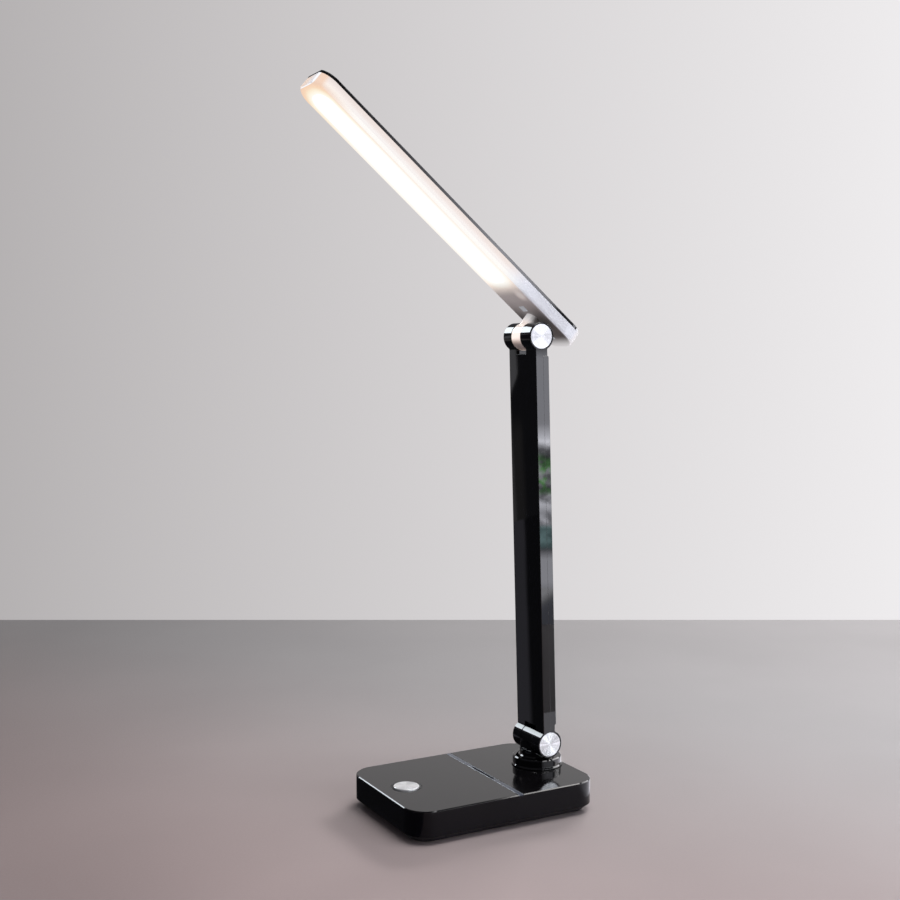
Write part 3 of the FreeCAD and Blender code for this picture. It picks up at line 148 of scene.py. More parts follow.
class Graph:
    """One material and short calls that add nodes to it."""

    def __init__(self, name):
        self.material = bpy.data.materials.new(name)
        self.material.use_nodes = True
        self.tree = self.material.node_tree
        self.tree.nodes.clear()
        self.out = self.tree.nodes.new("ShaderNodeOutputMaterial")

    def add(self, kind, **settings):
        node = self.tree.nodes.new(kind)
        for key, value in settings.items():
            setattr(node, key, value)
        return node

    def feed(self, socket, value):
        """Links a socket to an output, or sets its own value."""
        if isinstance(value, bpy.types.NodeSocket):
            self.tree.links.new(value, socket)
        elif isinstance(value, (tuple, list)) and socket.type == "RGBA":
            socket.default_value = tuple(value)[:3] + (1.0,)
        else:
            socket.default_value = value

    def math(self, operation, a, b=0.0):
        node = self.add("ShaderNodeMath", operation=operation)
        self.feed(node.inputs[0], a)
        self.feed(node.inputs[1], b)
        return node.outputs[0]

    def times(self, a, b):
        return self.math("MULTIPLY", a, b)

    def plus(self, a, b):
        return self.math("ADD", a, b)

    def minus(self, a, b):
        return self.math("SUBTRACT", a, b)

    def rest(self, share):
        """What a share leaves of 1."""
        return self.minus(1.0, share)

    def vector(self, operation, a, b=(0.0, 0.0, 0.0)):
        node = self.add("ShaderNodeVectorMath", operation=operation)
        self.feed(node.inputs[0], a)
        self.feed(node.inputs["Scale" if operation == "SCALE" else 1], b)
        return node.outputs["Value" if operation in ("DOT_PRODUCT", "LENGTH") else "Vector"]

    def join(self, x, y, z):
        node = self.add("ShaderNodeCombineXYZ")
        for socket, value in zip(node.inputs, (x, y, z)):
            self.feed(socket, value)
        return node.outputs[0]

    def place(self):
        return self.add("ShaderNodeTexCoord").outputs["Object"]

    def along(self, origin, *directions):
        """Distances of a point from an origin along given directions."""
        offset = self.vector("SUBTRACT", self.place(), tuple(origin))
        return [self.vector("DOT_PRODUCT", offset, tuple(direction)) for direction in directions]

    def noise(self, vector, scale, detail=2.0, roughness=0.5, dimensions="3D"):
        node = self.add("ShaderNodeTexNoise", noise_dimensions=dimensions)
        self.feed(node.inputs["W" if dimensions == "1D" else "Vector"], vector)
        self.feed(node.inputs["Scale"], scale)
        self.feed(node.inputs["Detail"], detail)
        self.feed(node.inputs["Roughness"], roughness)
        return node.outputs["Fac"]

    def span(self, value, low, high, out_low=0.0, out_high=1.0, smooth=True):
        """Takes a value from one range to another and holds it at the ends."""
        kind = "SMOOTHSTEP" if smooth else "LINEAR"
        node = self.add("ShaderNodeMapRange", interpolation_type=kind, clamp=True)
        for name, item in zip(("Value", "From Min", "From Max", "To Min", "To Max"),
                              (value, low, high, out_low, out_high)):
            self.feed(node.inputs[name], item)
        return node.outputs["Result"]

    def span_mm(self, value, low, high, out_low=0.0, out_high=1.0):
        """The same from a range in millimetres."""
        return self.span(value, low * MM, high * MM, out_low, out_high)

    def vary(self, noise, low=0.0, high=1.0):
        """The same from the range that a noise mostly keeps to."""
        return self.span(noise, NOISE_LOW, NOISE_HIGH, low, high)

    def blend(self, factor, a, b):
        node = self.add("ShaderNodeMix", data_type="RGBA")
        self.feed(node.inputs[MIX_FACTOR], factor)
        self.feed(node.inputs[MIX_A], a)
        self.feed(node.inputs[MIX_B], b)
        return node.outputs[MIX_RESULT]

    def ramp(self, value, stops):
        """Colours between stops from 0 to 1."""
        node = self.add("ShaderNodeValToRGB")
        elements = node.color_ramp.elements
        while len(elements) < len(stops):
            elements.new(0.5)
        for element, (position, colour) in zip(elements, stops):
            element.position = position
            element.color = tuple(colour) + (1.0,)
        self.feed(node.inputs[0], value)
        return node.outputs[0]

    def bump(self, height, distance, strength=1.0, normal=None):
        node = self.add("ShaderNodeBump")
        self.feed(node.inputs["Strength"], strength)
        self.feed(node.inputs["Distance"], distance)
        self.feed(node.inputs["Height"], height)
        if normal is not None:
            self.feed(node.inputs["Normal"], normal)
        return node.outputs[0]

    def soft_edges(self, radius):
        node = self.add("ShaderNodeBevel", samples=4)
        self.feed(node.inputs["Radius"], radius)
        return node.outputs[0]

    def surface(self, **inputs):
        node = self.add("ShaderNodeBsdfPrincipled")
        for key, value in inputs.items():
            self.feed(node.inputs[key.replace("_", " ")], value)
        return node.outputs[0]

    def emission(self, colour, strength):
        node = self.add("ShaderNodeEmission")
        self.feed(node.inputs["Color"], colour)
        self.feed(node.inputs["Strength"], strength)
        return node.outputs[0]

    def clear(self):
        return self.add("ShaderNodeBsdfTransparent").outputs[0]

    def front(self):
        """1 on the side that the face's normal points to, 0 behind."""
        return self.rest(self.add("ShaderNodeNewGeometry").outputs["Backfacing"])

    def mix_shaders(self, factor, a, b):
        node = self.add("ShaderNodeMixShader")
        for socket, value in zip(node.inputs, (factor, a, b)):
            self.feed(socket, value)
        return node.outputs[0]

    def done(self, shader):
        self.tree.links.new(shader, self.out.inputs["Surface"])
        return self.material


def black_gloss(name, colour=(0.0018, 0.0020, 0.0036), low=0.010, high=0.022):
    """Polished black plastic with faint ripples and handling marks."""
    g = Graph(name)
    place = g.place()
    smear = g.noise(place, 55.0, 4.0, 0.6)
    fine = g.noise(place, 900.0, 3.0, 0.6)
    ripple = g.noise(place, 28.0, 1.0)
    normal = g.bump(ripple, 0.04 * MM, 0.4, g.soft_edges(0.3 * MM))
    normal = g.bump(fine, 0.004 * MM, 0.35, normal)
    shader = g.surface(Base_Color=g.blend(smear, colour, scaled(colour, 1.5)),
                       Roughness=g.span(smear, 0.35, 0.7, low, high), IOR=1.46, Normal=normal)
    return g.done(shader)


def base_black():
    """Base housing: a polished deck over satin side walls."""
    g = Graph("base_black")
    place = g.place()
    height = g.along((0, 0, DECK_TOP), Z)[0]
    smear = g.noise(place, 40.0, 4.0, 0.6)
    ripple = g.noise(place, 22.0, 1.0)
    fine = g.noise(place, 1400.0, 3.0, 0.6)
    normal = g.bump(ripple, 0.05 * MM, 0.4, g.soft_edges(0.35 * MM))
    deck = g.surface(Base_Color=g.blend(smear, (0.0030, 0.0026, 0.0032), (0.005, 0.0045, 0.0052)),
                     Roughness=g.span(smear, 0.35, 0.7, 0.07, 0.12), IOR=1.41, Normal=normal)
    wall = g.surface(Base_Color=g.blend(fine, (0.0020, 0.0018, 0.0036), (0.0034, 0.0030, 0.0058)),
                     Roughness=g.vary(smear, 0.17, 0.24), IOR=1.30,
                     Normal=g.bump(fine, 0.01 * MM, 0.4, g.soft_edges(0.35 * MM)))
    return g.done(g.mix_shaders(g.span_mm(height, -1.3, -0.7), wall, deck))


def strip_grey():
    """Divider strip: a satin grey-blue ribbon with bevelled edges that a painted highlight lightens."""
    g = Graph("strip_grey")
    low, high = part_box("divider_strip")
    across = g.along(((low.x + high.x) / 2, 0, 0), X)[0]
    half = (high.x - low.x) / 2
    edge_highlight = g.span(g.math("ABSOLUTE", across), half - 0.65 * MM, half - 0.3 * MM)
    streak = g.noise(g.vector("MULTIPLY", g.place(), (1.0, 0.05, 1.0)), 2500.0, 2.0)
    colour = g.blend(streak, (0.075, 0.085, 0.115), (0.105, 0.118, 0.155))
    # Painted highlight along the bevelled edges
    colour = g.blend(edge_highlight, colour, (0.34, 0.38, 0.46))
    shader = g.surface(Base_Color=colour, Roughness=g.vary(streak, 0.25, 0.38),
                       Normal=g.bump(streak, 0.01 * MM, 0.4, g.soft_edges(0.15 * MM)))
    return g.done(shader)


def satin_dark(name, colour, low=0.35, high=0.5):
    """Moulded dark plastic with a fine grain."""
    g = Graph(name)
    place = g.place()
    fine = g.noise(place, 1200.0, 4.0, 0.65)
    broad = g.noise(place, 60.0, 2.0)
    shader = g.surface(Base_Color=g.blend(broad, colour, scaled(colour, 1.5)),
                       Roughness=g.vary(fine, low, high),
                       Normal=g.bump(fine, 0.02 * MM, 0.5, g.soft_edges(0.2 * MM)))
    return g.done(shader)


def rubber():
    """Black rubber with a little dust."""
    g = Graph("rubber")
    place = g.place()
    fine = g.noise(place, 1500.0, 5.0, 0.7)
    dust = g.noise(place, 90.0, 4.0, 0.6)
    colour = g.blend(g.span(dust, 0.45, 0.8), (0.016, 0.016, 0.017), (0.04, 0.039, 0.037))
    shader = g.surface(Base_Color=colour, Roughness=g.vary(fine, 0.7, 0.9), Sheen_Weight=0.1,
                       Normal=g.bump(fine, 0.06 * MM, 0.6))
    return g.done(shader)


def spun_metal(name, centre, axes, axis, rough=(0.22, 0.29), colour=(0.90, 0.90, 0.92), metallic=1.0,
               fan_shade=0.70, spin=0.92):
    """Turned metal face: fine rings round a centre and a painted fan-shaped sheen, its wedges darkened by the
    fan shade.
    """
    g = Graph(name)
    a, b = g.along(centre, *axes)
    radius = g.vector("LENGTH", g.join(a, b, 0.0))
    ray = g.vector("NORMALIZE", g.join(a, b, 0.0))
    fan = g.span(g.noise(ray, 1.9, 3.0, 0.65), 0.36, 0.62)
    rings = g.noise(radius, 16000.0, 3.0, 0.7, "1D")
    broad = g.noise(radius, 700.0, 2.0, 0.5, "1D")
    tangent = g.add("ShaderNodeTangent", direction_type="RADIAL", axis=axis)
    # Painted sheen: fan-shaped wedges of the colour darkened by the fan shade
    metal = g.blend(fan, scaled(colour, fan_shade), colour)
    metal = g.blend(g.vary(rings), g.vector("SCALE", metal, 0.93), metal)
    shader = g.surface(Base_Color=metal, Metallic=metallic,
                       Roughness=g.vary(broad, *rough), Anisotropic=spin,
                       Anisotropic_Rotation=0.25, Tangent=tangent.outputs[0],
                       Normal=g.bump(rings, 0.001 * MM, 0.2, g.soft_edges(0.12 * MM)))
    return g.done(shader)


def plain_metal(name, colour, low, high, grain=600.0):
    """Machined or plated metal with fine marks."""
    g = Graph(name)
    place = g.place()
    fine = g.noise(place, grain, 4.0, 0.6)
    stain = g.noise(place, 120.0, 3.0)
    shader = g.surface(Base_Color=g.blend(stain, scaled(colour, 0.75), colour), Metallic=1.0,
                       Roughness=g.vary(fine, low, high), Normal=g.bump(fine, 0.01 * MM, 0.4))
    return g.done(shader)


def pale_plastic(name, colour):
    """White or natural plastic with a faint mottle."""
    g = Graph(name)
    place = g.place()
    mottle = g.noise(place, 150.0, 3.0)
    fine = g.noise(place, 1500.0, 3.0)
    shader = g.surface(Base_Color=g.blend(mottle, colour, scaled(colour, 0.93)),
                       Roughness=g.vary(fine, 0.3, 0.45), Normal=g.bump(fine, 0.01 * MM, 0.4))
    return g.done(shader)


def circuit_board(name, mask_colour, trace_colour):
    """Lacquered board with faint copper runs under the lacquer."""
    g = Graph(name)
    place = g.place()
    runs = g.add("ShaderNodeTexBrick", offset=0.5)
    g.feed(runs.inputs["Vector"], place)
    g.feed(runs.inputs["Scale"], 260.0)
    g.feed(runs.inputs["Mortar Size"], 0.03)
    fine = g.noise(place, 900.0, 3.0)
    colour = g.blend(runs.outputs["Fac"], mask_colour, trace_colour)
    shader = g.surface(Base_Color=g.blend(fine, colour, scaled(mask_colour, 0.9)),
                       Roughness=g.vary(fine, 0.25, 0.4), Coat_Weight=0.4,
                       Normal=g.bump(runs.outputs["Fac"], 0.03 * MM, 0.4))
    return g.done(shader)


def led_yellow():
    """Light-emitting chips: clear gel over a yellow powder, lit."""
    g = Graph("led_yellow")
    speck = g.noise(g.place(), 4000.0, 3.0, 0.6)
    shader = g.surface(Base_Color=g.blend(speck, (0.80, 0.60, 0.14), (0.90, 0.74, 0.30)), Roughness=0.18,
                       Coat_Weight=0.6, Emission_Color=g.blend(speck, (1.0, 0.90, 0.70), (1.0, 0.96, 0.85)),
                       Emission_Strength=6.0, Normal=g.bump(speck, 0.01 * MM, 0.3))
    return g.done(shader)


def cell_wrap():
    """Creased metal foil round the cell."""
    g = Graph("cell_wrap")
    crease = g.noise(g.place(), 160.0, 5.0, 0.65)
    shader = g.surface(Base_Color=g.blend(crease, (0.30, 0.32, 0.35), (0.40, 0.42, 0.45)), Metallic=0.6,
                       Roughness=g.vary(crease, 0.25, 0.42), Normal=g.bump(crease, 0.12 * MM, 0.5))
    return g.done(shader)


def head_frame(g):
    """Distances along the head towards its tip, across it, and out from the hinge to its top."""
    return g.along(HEAD_PIVOT, HEAD_ALONG, Y, HEAD_OUT)


# Lit oval under the head, and the last chip that shines through its border
LIT_START = 36.5 * MM
LIT_END = 218.5 * MM
LIT_MIDDLE_ACROSS = -1.0 * MM
LIT_HALF_WIDTH = 16.0 * MM
LIT_CORNER = 14.0 * MM
LAST_CHIP = (27.5 * MM, -11.0 * MM)
# Colour of the light by millimetres from the oval's edge, below zero inside it, at the tip and along the head
TIP_GLOW = [
    (-5.5, (1.0, 0.98, 0.93)), (-2.4, (0.96, 0.88, 0.72)), (-0.8, (0.93, 0.80, 0.61)),
    (0.8, (0.91, 0.68, 0.49)), (2.4, (0.89, 0.63, 0.45)), (4.0, (0.84, 0.60, 0.46)),
    (7.0, (0.82, 0.62, 0.53)), (10.0, (0.86, 0.69, 0.58))]
LONG_GLOW = [
    (-5.0, (1.0, 1.0, 0.97)), (-1.0, (0.97, 0.93, 0.86)), (1.0, (0.96, 0.86, 0.77)),
    (3.0, (0.92, 0.80, 0.72)), (10.0, (0.88, 0.78, 0.72))]
# Colour of the light on the near wall by millimetres out from the hinge, along the head and at its tip
WALL_GLOW = [
    (12.4, (0.96, 0.92, 0.88)), (14.8, (0.93, 0.91, 0.88)), (15.6, (0.85, 0.81, 0.80)),
    (16.8, (0.87, 0.82, 0.80)), (18.6, (0.81, 0.72, 0.69)), (20.4, (0.78, 0.69, 0.65))]
WALL_GLOW_TIP = [
    (12.4, (0.90, 0.66, 0.54)), (14.2, (0.84, 0.71, 0.63)), (16.4, (0.90, 0.82, 0.76)),
    (18.6, (0.83, 0.74, 0.71)), (20.4, (0.76, 0.68, 0.65))]


def lit_distance(g, along, across):
    """Signed distance from the edge of the lit oval, in millimetres, below zero inside it."""
    middle, reach = (LIT_START + LIT_END) / 2, (LIT_END - LIT_START) / 2
    sideways = g.minus(across, LIT_MIDDLE_ACROSS)
    x = g.minus(g.math("ABSOLUTE", g.minus(along, middle)), reach - LIT_CORNER)
    y = g.minus(g.math("ABSOLUTE", sideways), LIT_HALF_WIDTH - LIT_CORNER)
    outside = g.vector("LENGTH", g.join(g.math("MAXIMUM", x, 0.0), g.math("MAXIMUM", y, 0.0), 0.0))
    inside = g.math("MINIMUM", g.math("MAXIMUM", x, y), 0.0)
    distance = g.minus(g.plus(outside, inside), LIT_CORNER)
    return g.math("DIVIDE", distance, MM)


def stepped_glow(g, value, stops):
    """Colour ramp whose stops are given in the value's own unit."""
    low, high = stops[0][0], stops[-1][0]
    return g.ramp(g.span(value, low, high, smooth=False), [((at - low) / (high - low), c) for at, c in stops])


def tray_glow(g, along, across, out, distance):
    """Colour of the light that leaves the tray: its underside, near wall, rims and end face, with painted
    light at the rear and a painted highlight along the end face's creases.
    """
    tip = g.span_mm(along, 150.0, 212.0)
    glow = g.blend(tip, stepped_glow(g, distance, LONG_GLOW), stepped_glow(g, distance, TIP_GLOW))
    rim = g.times(tip, g.span_mm(across, 15.4, 16.6))
    glow = g.blend(rim, glow, (0.78, 0.68, 0.69))
    # Colour of the rear end's glow, partly painted light
    glow = g.blend(g.span_mm(along, -10.0, -18.0), glow, (0.86, 0.84, 0.85))
    height = g.math("DIVIDE", out, MM)
    wall = g.blend(g.span_mm(along, 185.0, 215.0), stepped_glow(g, height, WALL_GLOW),
                   stepped_glow(g, height, WALL_GLOW_TIP))
    side = g.times(g.span_mm(across, -14.5, -16.5), g.span_mm(out, 12.5, 12.9))
    # Painted light: the near wall turns a cool bluish white towards the rear
    wall = g.blend(g.span_mm(along, 55.0, 25.0), wall, (0.70, 0.75, 0.86))
    glow = g.blend(side, glow, wall)
    near_edge = g.times(g.span_mm(across, -14.6, -16.4), g.span_mm(out, 13.1, 12.5))
    warmth = g.times(near_edge, g.span_mm(along, 40.0, 190.0, 0.35, 0.85))
    glow = g.blend(warmth, glow, (0.84, 0.63, 0.49))
    end_face = g.span_mm(along, 221.2, 221.6)
    end_colour = g.blend(g.span_mm(across, 4.0, -9.0), (0.74, 0.58, 0.49), (0.68, 0.66, 0.69))
    glow = g.blend(end_face, glow, end_colour)
    # Painted highlight: a bluish white line along the end face's low and side creases
    crease_low = g.span_mm(out, 12.95, 12.75)
    crease_side = g.span(g.math("ABSOLUTE", across), 9.35 * MM, 9.65 * MM)
    crease = g.times(end_face, g.math("MAXIMUM", crease_low, crease_side))
    return g.blend(crease, glow, (0.95, 0.96, 1.0))


def tray_power(g, along, across, out, distance, lengthwise):
    """Power of that light: full in the lit oval, with what leaks by the last chip, and a weak glow further
    back, at the rear end and rear wall, partly leak and partly painted light.
    """
    under = g.span_mm(out, 13.2, 12.6)
    power = g.times(g.span(distance, -9.0, -4.0, 3.0, 1.0), lengthwise)
    near_chip = g.vector("LENGTH", g.join(g.minus(along, LAST_CHIP[0]),
                                          g.minus(across, LAST_CHIP[1]), 0.0))
    spot = g.times(g.span_mm(near_chip, 7.0, 1.0, 0.0, 0.26), under)
    # Glow at the rear end and rear wall: partly leak, partly painted light
    rear_end = g.times(under, g.span_mm(along, -14.0, -25.0, 0.0, 0.62))
    rear_wall = g.times(g.rest(under), g.span_mm(along, -9.0, -14.5, 0.32, 0.48))
    leak_and_painted_light = g.plus(g.span_mm(along, 4.0, 34.0, 0.03, 0.15), spot)
    leak_and_painted_light = g.plus(leak_and_painted_light, g.plus(rear_end, rear_wall))
    return g.plus(power, g.times(leak_and_painted_light, g.rest(lengthwise)))


def milky_lit():
    """Milky tray of the head, lit from inside, with a dull border towards the hinge, darkened by painted
    shade next to the tongue.
    """
    g = Graph("milky_lit")
    along, across, out = head_frame(g)
    distance = lit_distance(g, along, across)
    mottle = g.noise(g.place(), 90.0, 2.0)
    fine = g.noise(g.place(), 1500.0, 2.0)
    lengthwise = g.span_mm(along, 27.0, 43.0)
    base = g.blend(mottle, (0.68, 0.68, 0.70), (0.76, 0.76, 0.79))
    # Painted shade on the underside next to the hinge's tongue
    painted_hinge_shade = g.times(g.span_mm(along, 24.0, 8.0), g.span_mm(out, 13.4, 12.6))
    painted_hinge_shade = g.times(painted_hinge_shade, g.span_mm(along, 10.0, -4.0, 0.45, 0.90))
    base = g.blend(painted_hinge_shade, base, (0.15, 0.13, 0.13))
    base = g.blend(lengthwise, base, (0.16, 0.15, 0.14))
    shader = g.surface(Base_Color=base, Roughness=g.vary(fine, 0.40, 0.5), IOR=1.07,
                       Emission_Color=tray_glow(g, along, across, out, distance),
                       Emission_Strength=tray_power(g, along, across, out, distance, lengthwise),
                       Normal=g.soft_edges(0.3 * MM))
    return g.done(shader)


def milky_tongue():
    """Hinge tongue of the head: milky plastic with faint upright streaks, a painted glow standing in for the
    light on it, and painted shade behind its root.
    """
    g = Graph("milky_tongue")
    along, across, out = head_frame(g)
    streak = g.noise(g.join(across, 0.0, g.times(out, 0.08)), 2200.0, 2.0)
    warm = g.span_mm(out, 2.0, 12.0)
    colour = g.blend(streak, (0.78, 0.71, 0.65), (0.90, 0.86, 0.83))
    colour = g.blend(warm, colour, (0.74, 0.68, 0.64))
    # Painted glow: the tongue is no lamp; its emission stands in for the light on it
    painted_glow = g.blend(g.span(streak, 0.35, 0.65), (0.88, 0.74, 0.66), (0.98, 0.91, 0.88))
    cool = g.vector("SCALE", (0.94, 0.94, 0.96), g.span(streak, 0.35, 0.65, 0.80, 1.05))
    painted_glow = g.blend(g.span_mm(out, 4.0, 10.0), painted_glow, cool)
    painted_glow = g.blend(g.span_mm(out, -6.0, -9.4), painted_glow, (0.86, 0.64, 0.54))
    power = g.times(g.span_mm(out, -9.5, -6.4, 0.0, 0.93), g.span_mm(out, -4.0, 1.0, 1.0, 0.72))
    power = g.times(power, g.span_mm(out, 8.0, 12.5, 1.0, 0.62))
    # Painted shade on the side face behind the root, which also dims the painted glow
    rear = g.times(g.span_mm(along, 10.5, 4.0), g.span_mm(out, 4.0, 9.5))
    colour = g.blend(rear, colour, (0.15, 0.12, 0.11))
    power = g.times(power, g.rest(g.times(rear, 0.95)))
    shader = g.surface(Base_Color=colour, Roughness=g.vary(streak, 0.12, 0.2), IOR=1.49,
                       Emission_Color=painted_glow, Emission_Strength=power, Normal=g.soft_edges(0.3 * MM))
    return g.done(shader)


def pale_plug():
    """Plugs over the tongue's screws: cool white plastic with a faint painted glow."""
    g = Graph("pale_plug")
    mottle = g.noise(g.place(), 400.0, 2.0)
    shader = g.surface(Base_Color=g.blend(mottle, (0.70, 0.77, 0.85), (0.80, 0.86, 0.93)),
                       Roughness=g.vary(mottle, 0.25, 0.4), Emission_Color=(0.85, 0.93, 1.0),
                       Emission_Strength=0.16, Normal=g.soft_edges(0.2 * MM))
    return g.done(shader)


def cap_material(prefix):
    """Spun caps of one hinge, with rings round its axis."""
    pivot = ARM_PIVOT if prefix == "lower" else HEAD_PIVOT
    return spun_metal(prefix + "_cap_metal", pivot, (ARM_ALONG, ARM_BACK), "Y", **CAP_LOOKS[prefix])


def dress_nodes():
    """Gives every CAD node its material."""
    low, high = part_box("power_button")
    steel = plain_metal("steel", (0.55, 0.55, 0.56), 0.25, 0.4)
    plated = plain_metal("bright_plate", (0.72, 0.71, 0.69), 0.12, 0.22)
    dull = plain_metal("rolled_steel", (0.34, 0.34, 0.35), 0.4, 0.6, 250.0)
    gloss = black_gloss("black_gloss")
    fibre = satin_dark("fibre", (0.045, 0.035, 0.028), 0.6, 0.8)
    dark = satin_dark("dark_plastic", (0.03, 0.03, 0.033))
    natural = pale_plastic("natural_plastic", (0.72, 0.70, 0.64))
    looks = {
        "base_housing": base_black(),
        "divider_strip": strip_grey(),
        "base_bottom_cover": satin_dark("under_black", (0.006, 0.006, 0.008)),
        "anti_slip_pad": rubber(),
        "base_screws": steel, "board_screws": steel, "tongue_screws": steel, "light_screws": steel,
        "ballast_plate": dull,
        "battery_pack": cell_wrap(),
        "main_circuit_board": circuit_board("board_green", *BOARD_GREEN),
        "port_board": circuit_board("port_board_green", *BOARD_GREEN),
        "charging_socket": plated,
        "tactile_switch": dark, "button_plunger": dark,
        "button_bezel": satin_dark("bezel_dark", (0.003, 0.003, 0.004), 0.30, 0.40),
        "swivel_bush": natural, "glide_washer": natural,
        "power_button": spun_metal("button_metal", ((low.x + high.x) / 2, 0, 0), (X, Y), "Z",
                                   rough=(0.32, 0.40), colour=(0.97, 0.97, 0.98), metallic=0.40,
                                   fan_shade=0.86),
        "turntable_post": black_gloss("post_gloss", (0.0012, 0.0012, 0.0018), 0.012, 0.03),
        "swivel_tube": steel, "swivel_washer": plated, "swivel_nut": plated,
        "arm_front_shell": gloss, "arm_rear_cover": gloss,
        "arm_wire_lead": satin_dark("wire_black", (0.02, 0.02, 0.02), 0.4, 0.55),
        "head_diffuser": milky_lit(),
        "head_top_cover": black_gloss("cover_gloss", (0.0040, 0.0032, 0.0040), 0.02, 0.04),
        "head_tongue": milky_tongue(),
        "tongue_screw_plugs": pale_plug(),
        "reflector": pale_plastic("white_plastic", (0.86, 0.85, 0.83)),
        "led_board": circuit_board("board_white", (0.80, 0.80, 0.78), (0.70, 0.70, 0.68)),
        "led_chips": led_yellow(),
    }
    for prefix in ("lower", "upper"):
        looks[prefix + "_hinge_caps"] = cap_material(prefix)
        looks[prefix + "_hinge_pin"] = steel
        looks[prefix + "_hinge_nut"] = plated
        looks[prefix + "_hinge_spring_washers"] = plated
        looks[prefix + "_hinge_friction_discs"] = fibre
    for name, node in frame["nodes"].items():
        node.data.materials.clear()
        node.data.materials.append(looks[name])
        for face in node.data.polygons:
            face.material_index = 0


def rectangle(origin, across, along, reach_across, reach_along):
    """Corners of a rectangle from an origin, two directions and the reach along each."""
    (a, b), (c, d) = reach_across, reach_along
    return [origin + across * u + along * v for u, v in ((a, c), (b, c), (b, d), (a, d))]


def flat_mesh(name, corners, material):
    """Four-cornered piece of the stage."""
    mesh = bpy.data.meshes.new(name)
    mesh.from_pydata([tuple(corner) for corner in corners], [], [(0, 1, 2, 3)])
    mesh.materials.append(material)
    piece = bpy.data.objects.new(name, mesh)
    bpy.context.scene.collection.objects.link(piece)


def floor_material():
    """Pale satin table top with painted light: lighter towards one side and in pools, and darker far behind.
    """
    g = Graph("floor_pale")
    lateral, depth = g.along((0, 0, 0), LEVEL_RIGHT, LEVEL_AIM)
    # Painted shade: the floor darkens towards the left
    shade = g.span(lateral, -0.45, 0.55, FLOOR_LEFT, FLOOR_RIGHT, smooth=False)
    plain = g.span(g.plus(depth, g.times(lateral, 0.6)), -0.30, 0.40)
    colour = g.vector("SCALE", g.blend(plain, FLOOR_WARM, FLOOR_PLAIN), shade)
    mottle = g.noise(g.place(), 6.0, 3.0)
    fine = g.noise(g.place(), 700.0, 2.0)
    # Painted shade, darker far behind, with a faint mottle; then painted pools of light
    level = g.times(g.span(depth, 0.25, 0.55, 1.0, 0.92), g.vary(mottle, 0.98, 1.02))
    for x, y, reach, gain in PAINTED_LIGHT_POOLS:
        away = g.vector("LENGTH", g.join(g.minus(lateral, x), g.minus(depth, y), 0.0))
        level = g.times(level, g.span(away, reach, 0.0, 1.0, gain))
    colour = g.vector("SCALE", colour, level)
    shader = g.surface(Base_Color=colour, Roughness=g.vary(fine, 0.45, 0.55), IOR=1.2,
                       Normal=g.bump(fine, 0.01 * MM, 0.2))
    return g.done(shader)


def wall_material():
    """Pale wall: shows its colour to what sees or mirrors it, with painted shade that darkens it towards the
    left, and adds no light to the object.
    """
    g = Graph("wall_pale")
    lateral, height = g.along((0, 0, 0), LEVEL_RIGHT, Z)
    side = g.span(lateral, -1.0, 1.0, smooth=False)
    # Painted shade: the glow darkens towards the left
    shade = g.span(side, 0.0, 1.0, WALL_SHADE_LEFT, WALL_SHADE_RIGHT, smooth=False)
    glow = g.emission(g.blend(side, WALL_COLOUR_LEFT, WALL_COLOUR_RIGHT), shade)
    path = g.add("ShaderNodeLightPath")
    low = g.math("LESS_THAN", height, WALL_MIRRORED_HEIGHT)
    mirrored = g.math("MAXIMUM", path.outputs["Is Glossy Ray"], path.outputs["Is Transmission Ray"])
    seen = g.math("MAXIMUM", path.outputs["Is Camera Ray"], g.times(mirrored, low))
    return g.done(g.mix_shaders(g.times(seen, g.front()), g.clear(), glow))


def mirrored_only(g, colour, strength=1.0, once=False):
    """Ends a material that only mirrored rays meet, on its front; with once, only rays mirrored one time."""
    path = g.add("ShaderNodeLightPath")
    mirrored = path.outputs["Is Glossy Ray"]
    if once:
        mirrored = g.times(mirrored, g.math("LESS_THAN", path.outputs["Glossy Depth"], 1.5))
    mirrored = g.times(mirrored, g.front())
    return g.done(g.mix_shaders(mirrored, g.clear(), g.emission(colour, strength)))


def flag_material():
    """Dark flag beside the wall, with a paler patch next to the wall's edge."""
    g = Graph("flag_dark")
    lateral, height = g.along((0, 0, 0), LEVEL_RIGHT, Z)
    reach = g.span(height, 0.205, 0.25, 0.0, 0.028)
    patch = g.span(g.plus(lateral, reach), WALL_LEFT - 0.004, WALL_LEFT + 0.004)
    half = g.times(g.span(lateral, WALL_LEFT - 0.045, WALL_LEFT - 0.025), g.span(height, 0.19, 0.14))
    colour = g.blend(half, (0.045, 0.045, 0.050), (0.11, 0.105, 0.105))
    return mirrored_only(g, g.blend(patch, colour, (0.55, 0.55, 0.58)))


def floor_flag_material():
    """Dark flag over the floor, painted shade that only mirrored rays meet, with a paler part beyond the line
    that the arm's middle mirrors.
    """
    g = Graph("floor_flag_dark")
    run, beyond = g.along(FLAG_LINE_FOOT, FLAG_LINE_ALONG, FLAG_LINE_BEYOND)
    far = g.minus(beyond, g.span(run, 0.0, 1.0, 11.0 * MM, 22.0 * MM, smooth=False))
    pale = g.times(g.span_mm(beyond, -1.0, 4.0), g.span(far, 3.0 * MM, 0.0))
    return mirrored_only(g, g.blend(pale, (0.030, 0.030, 0.033), (0.21, 0.205, 0.24)))


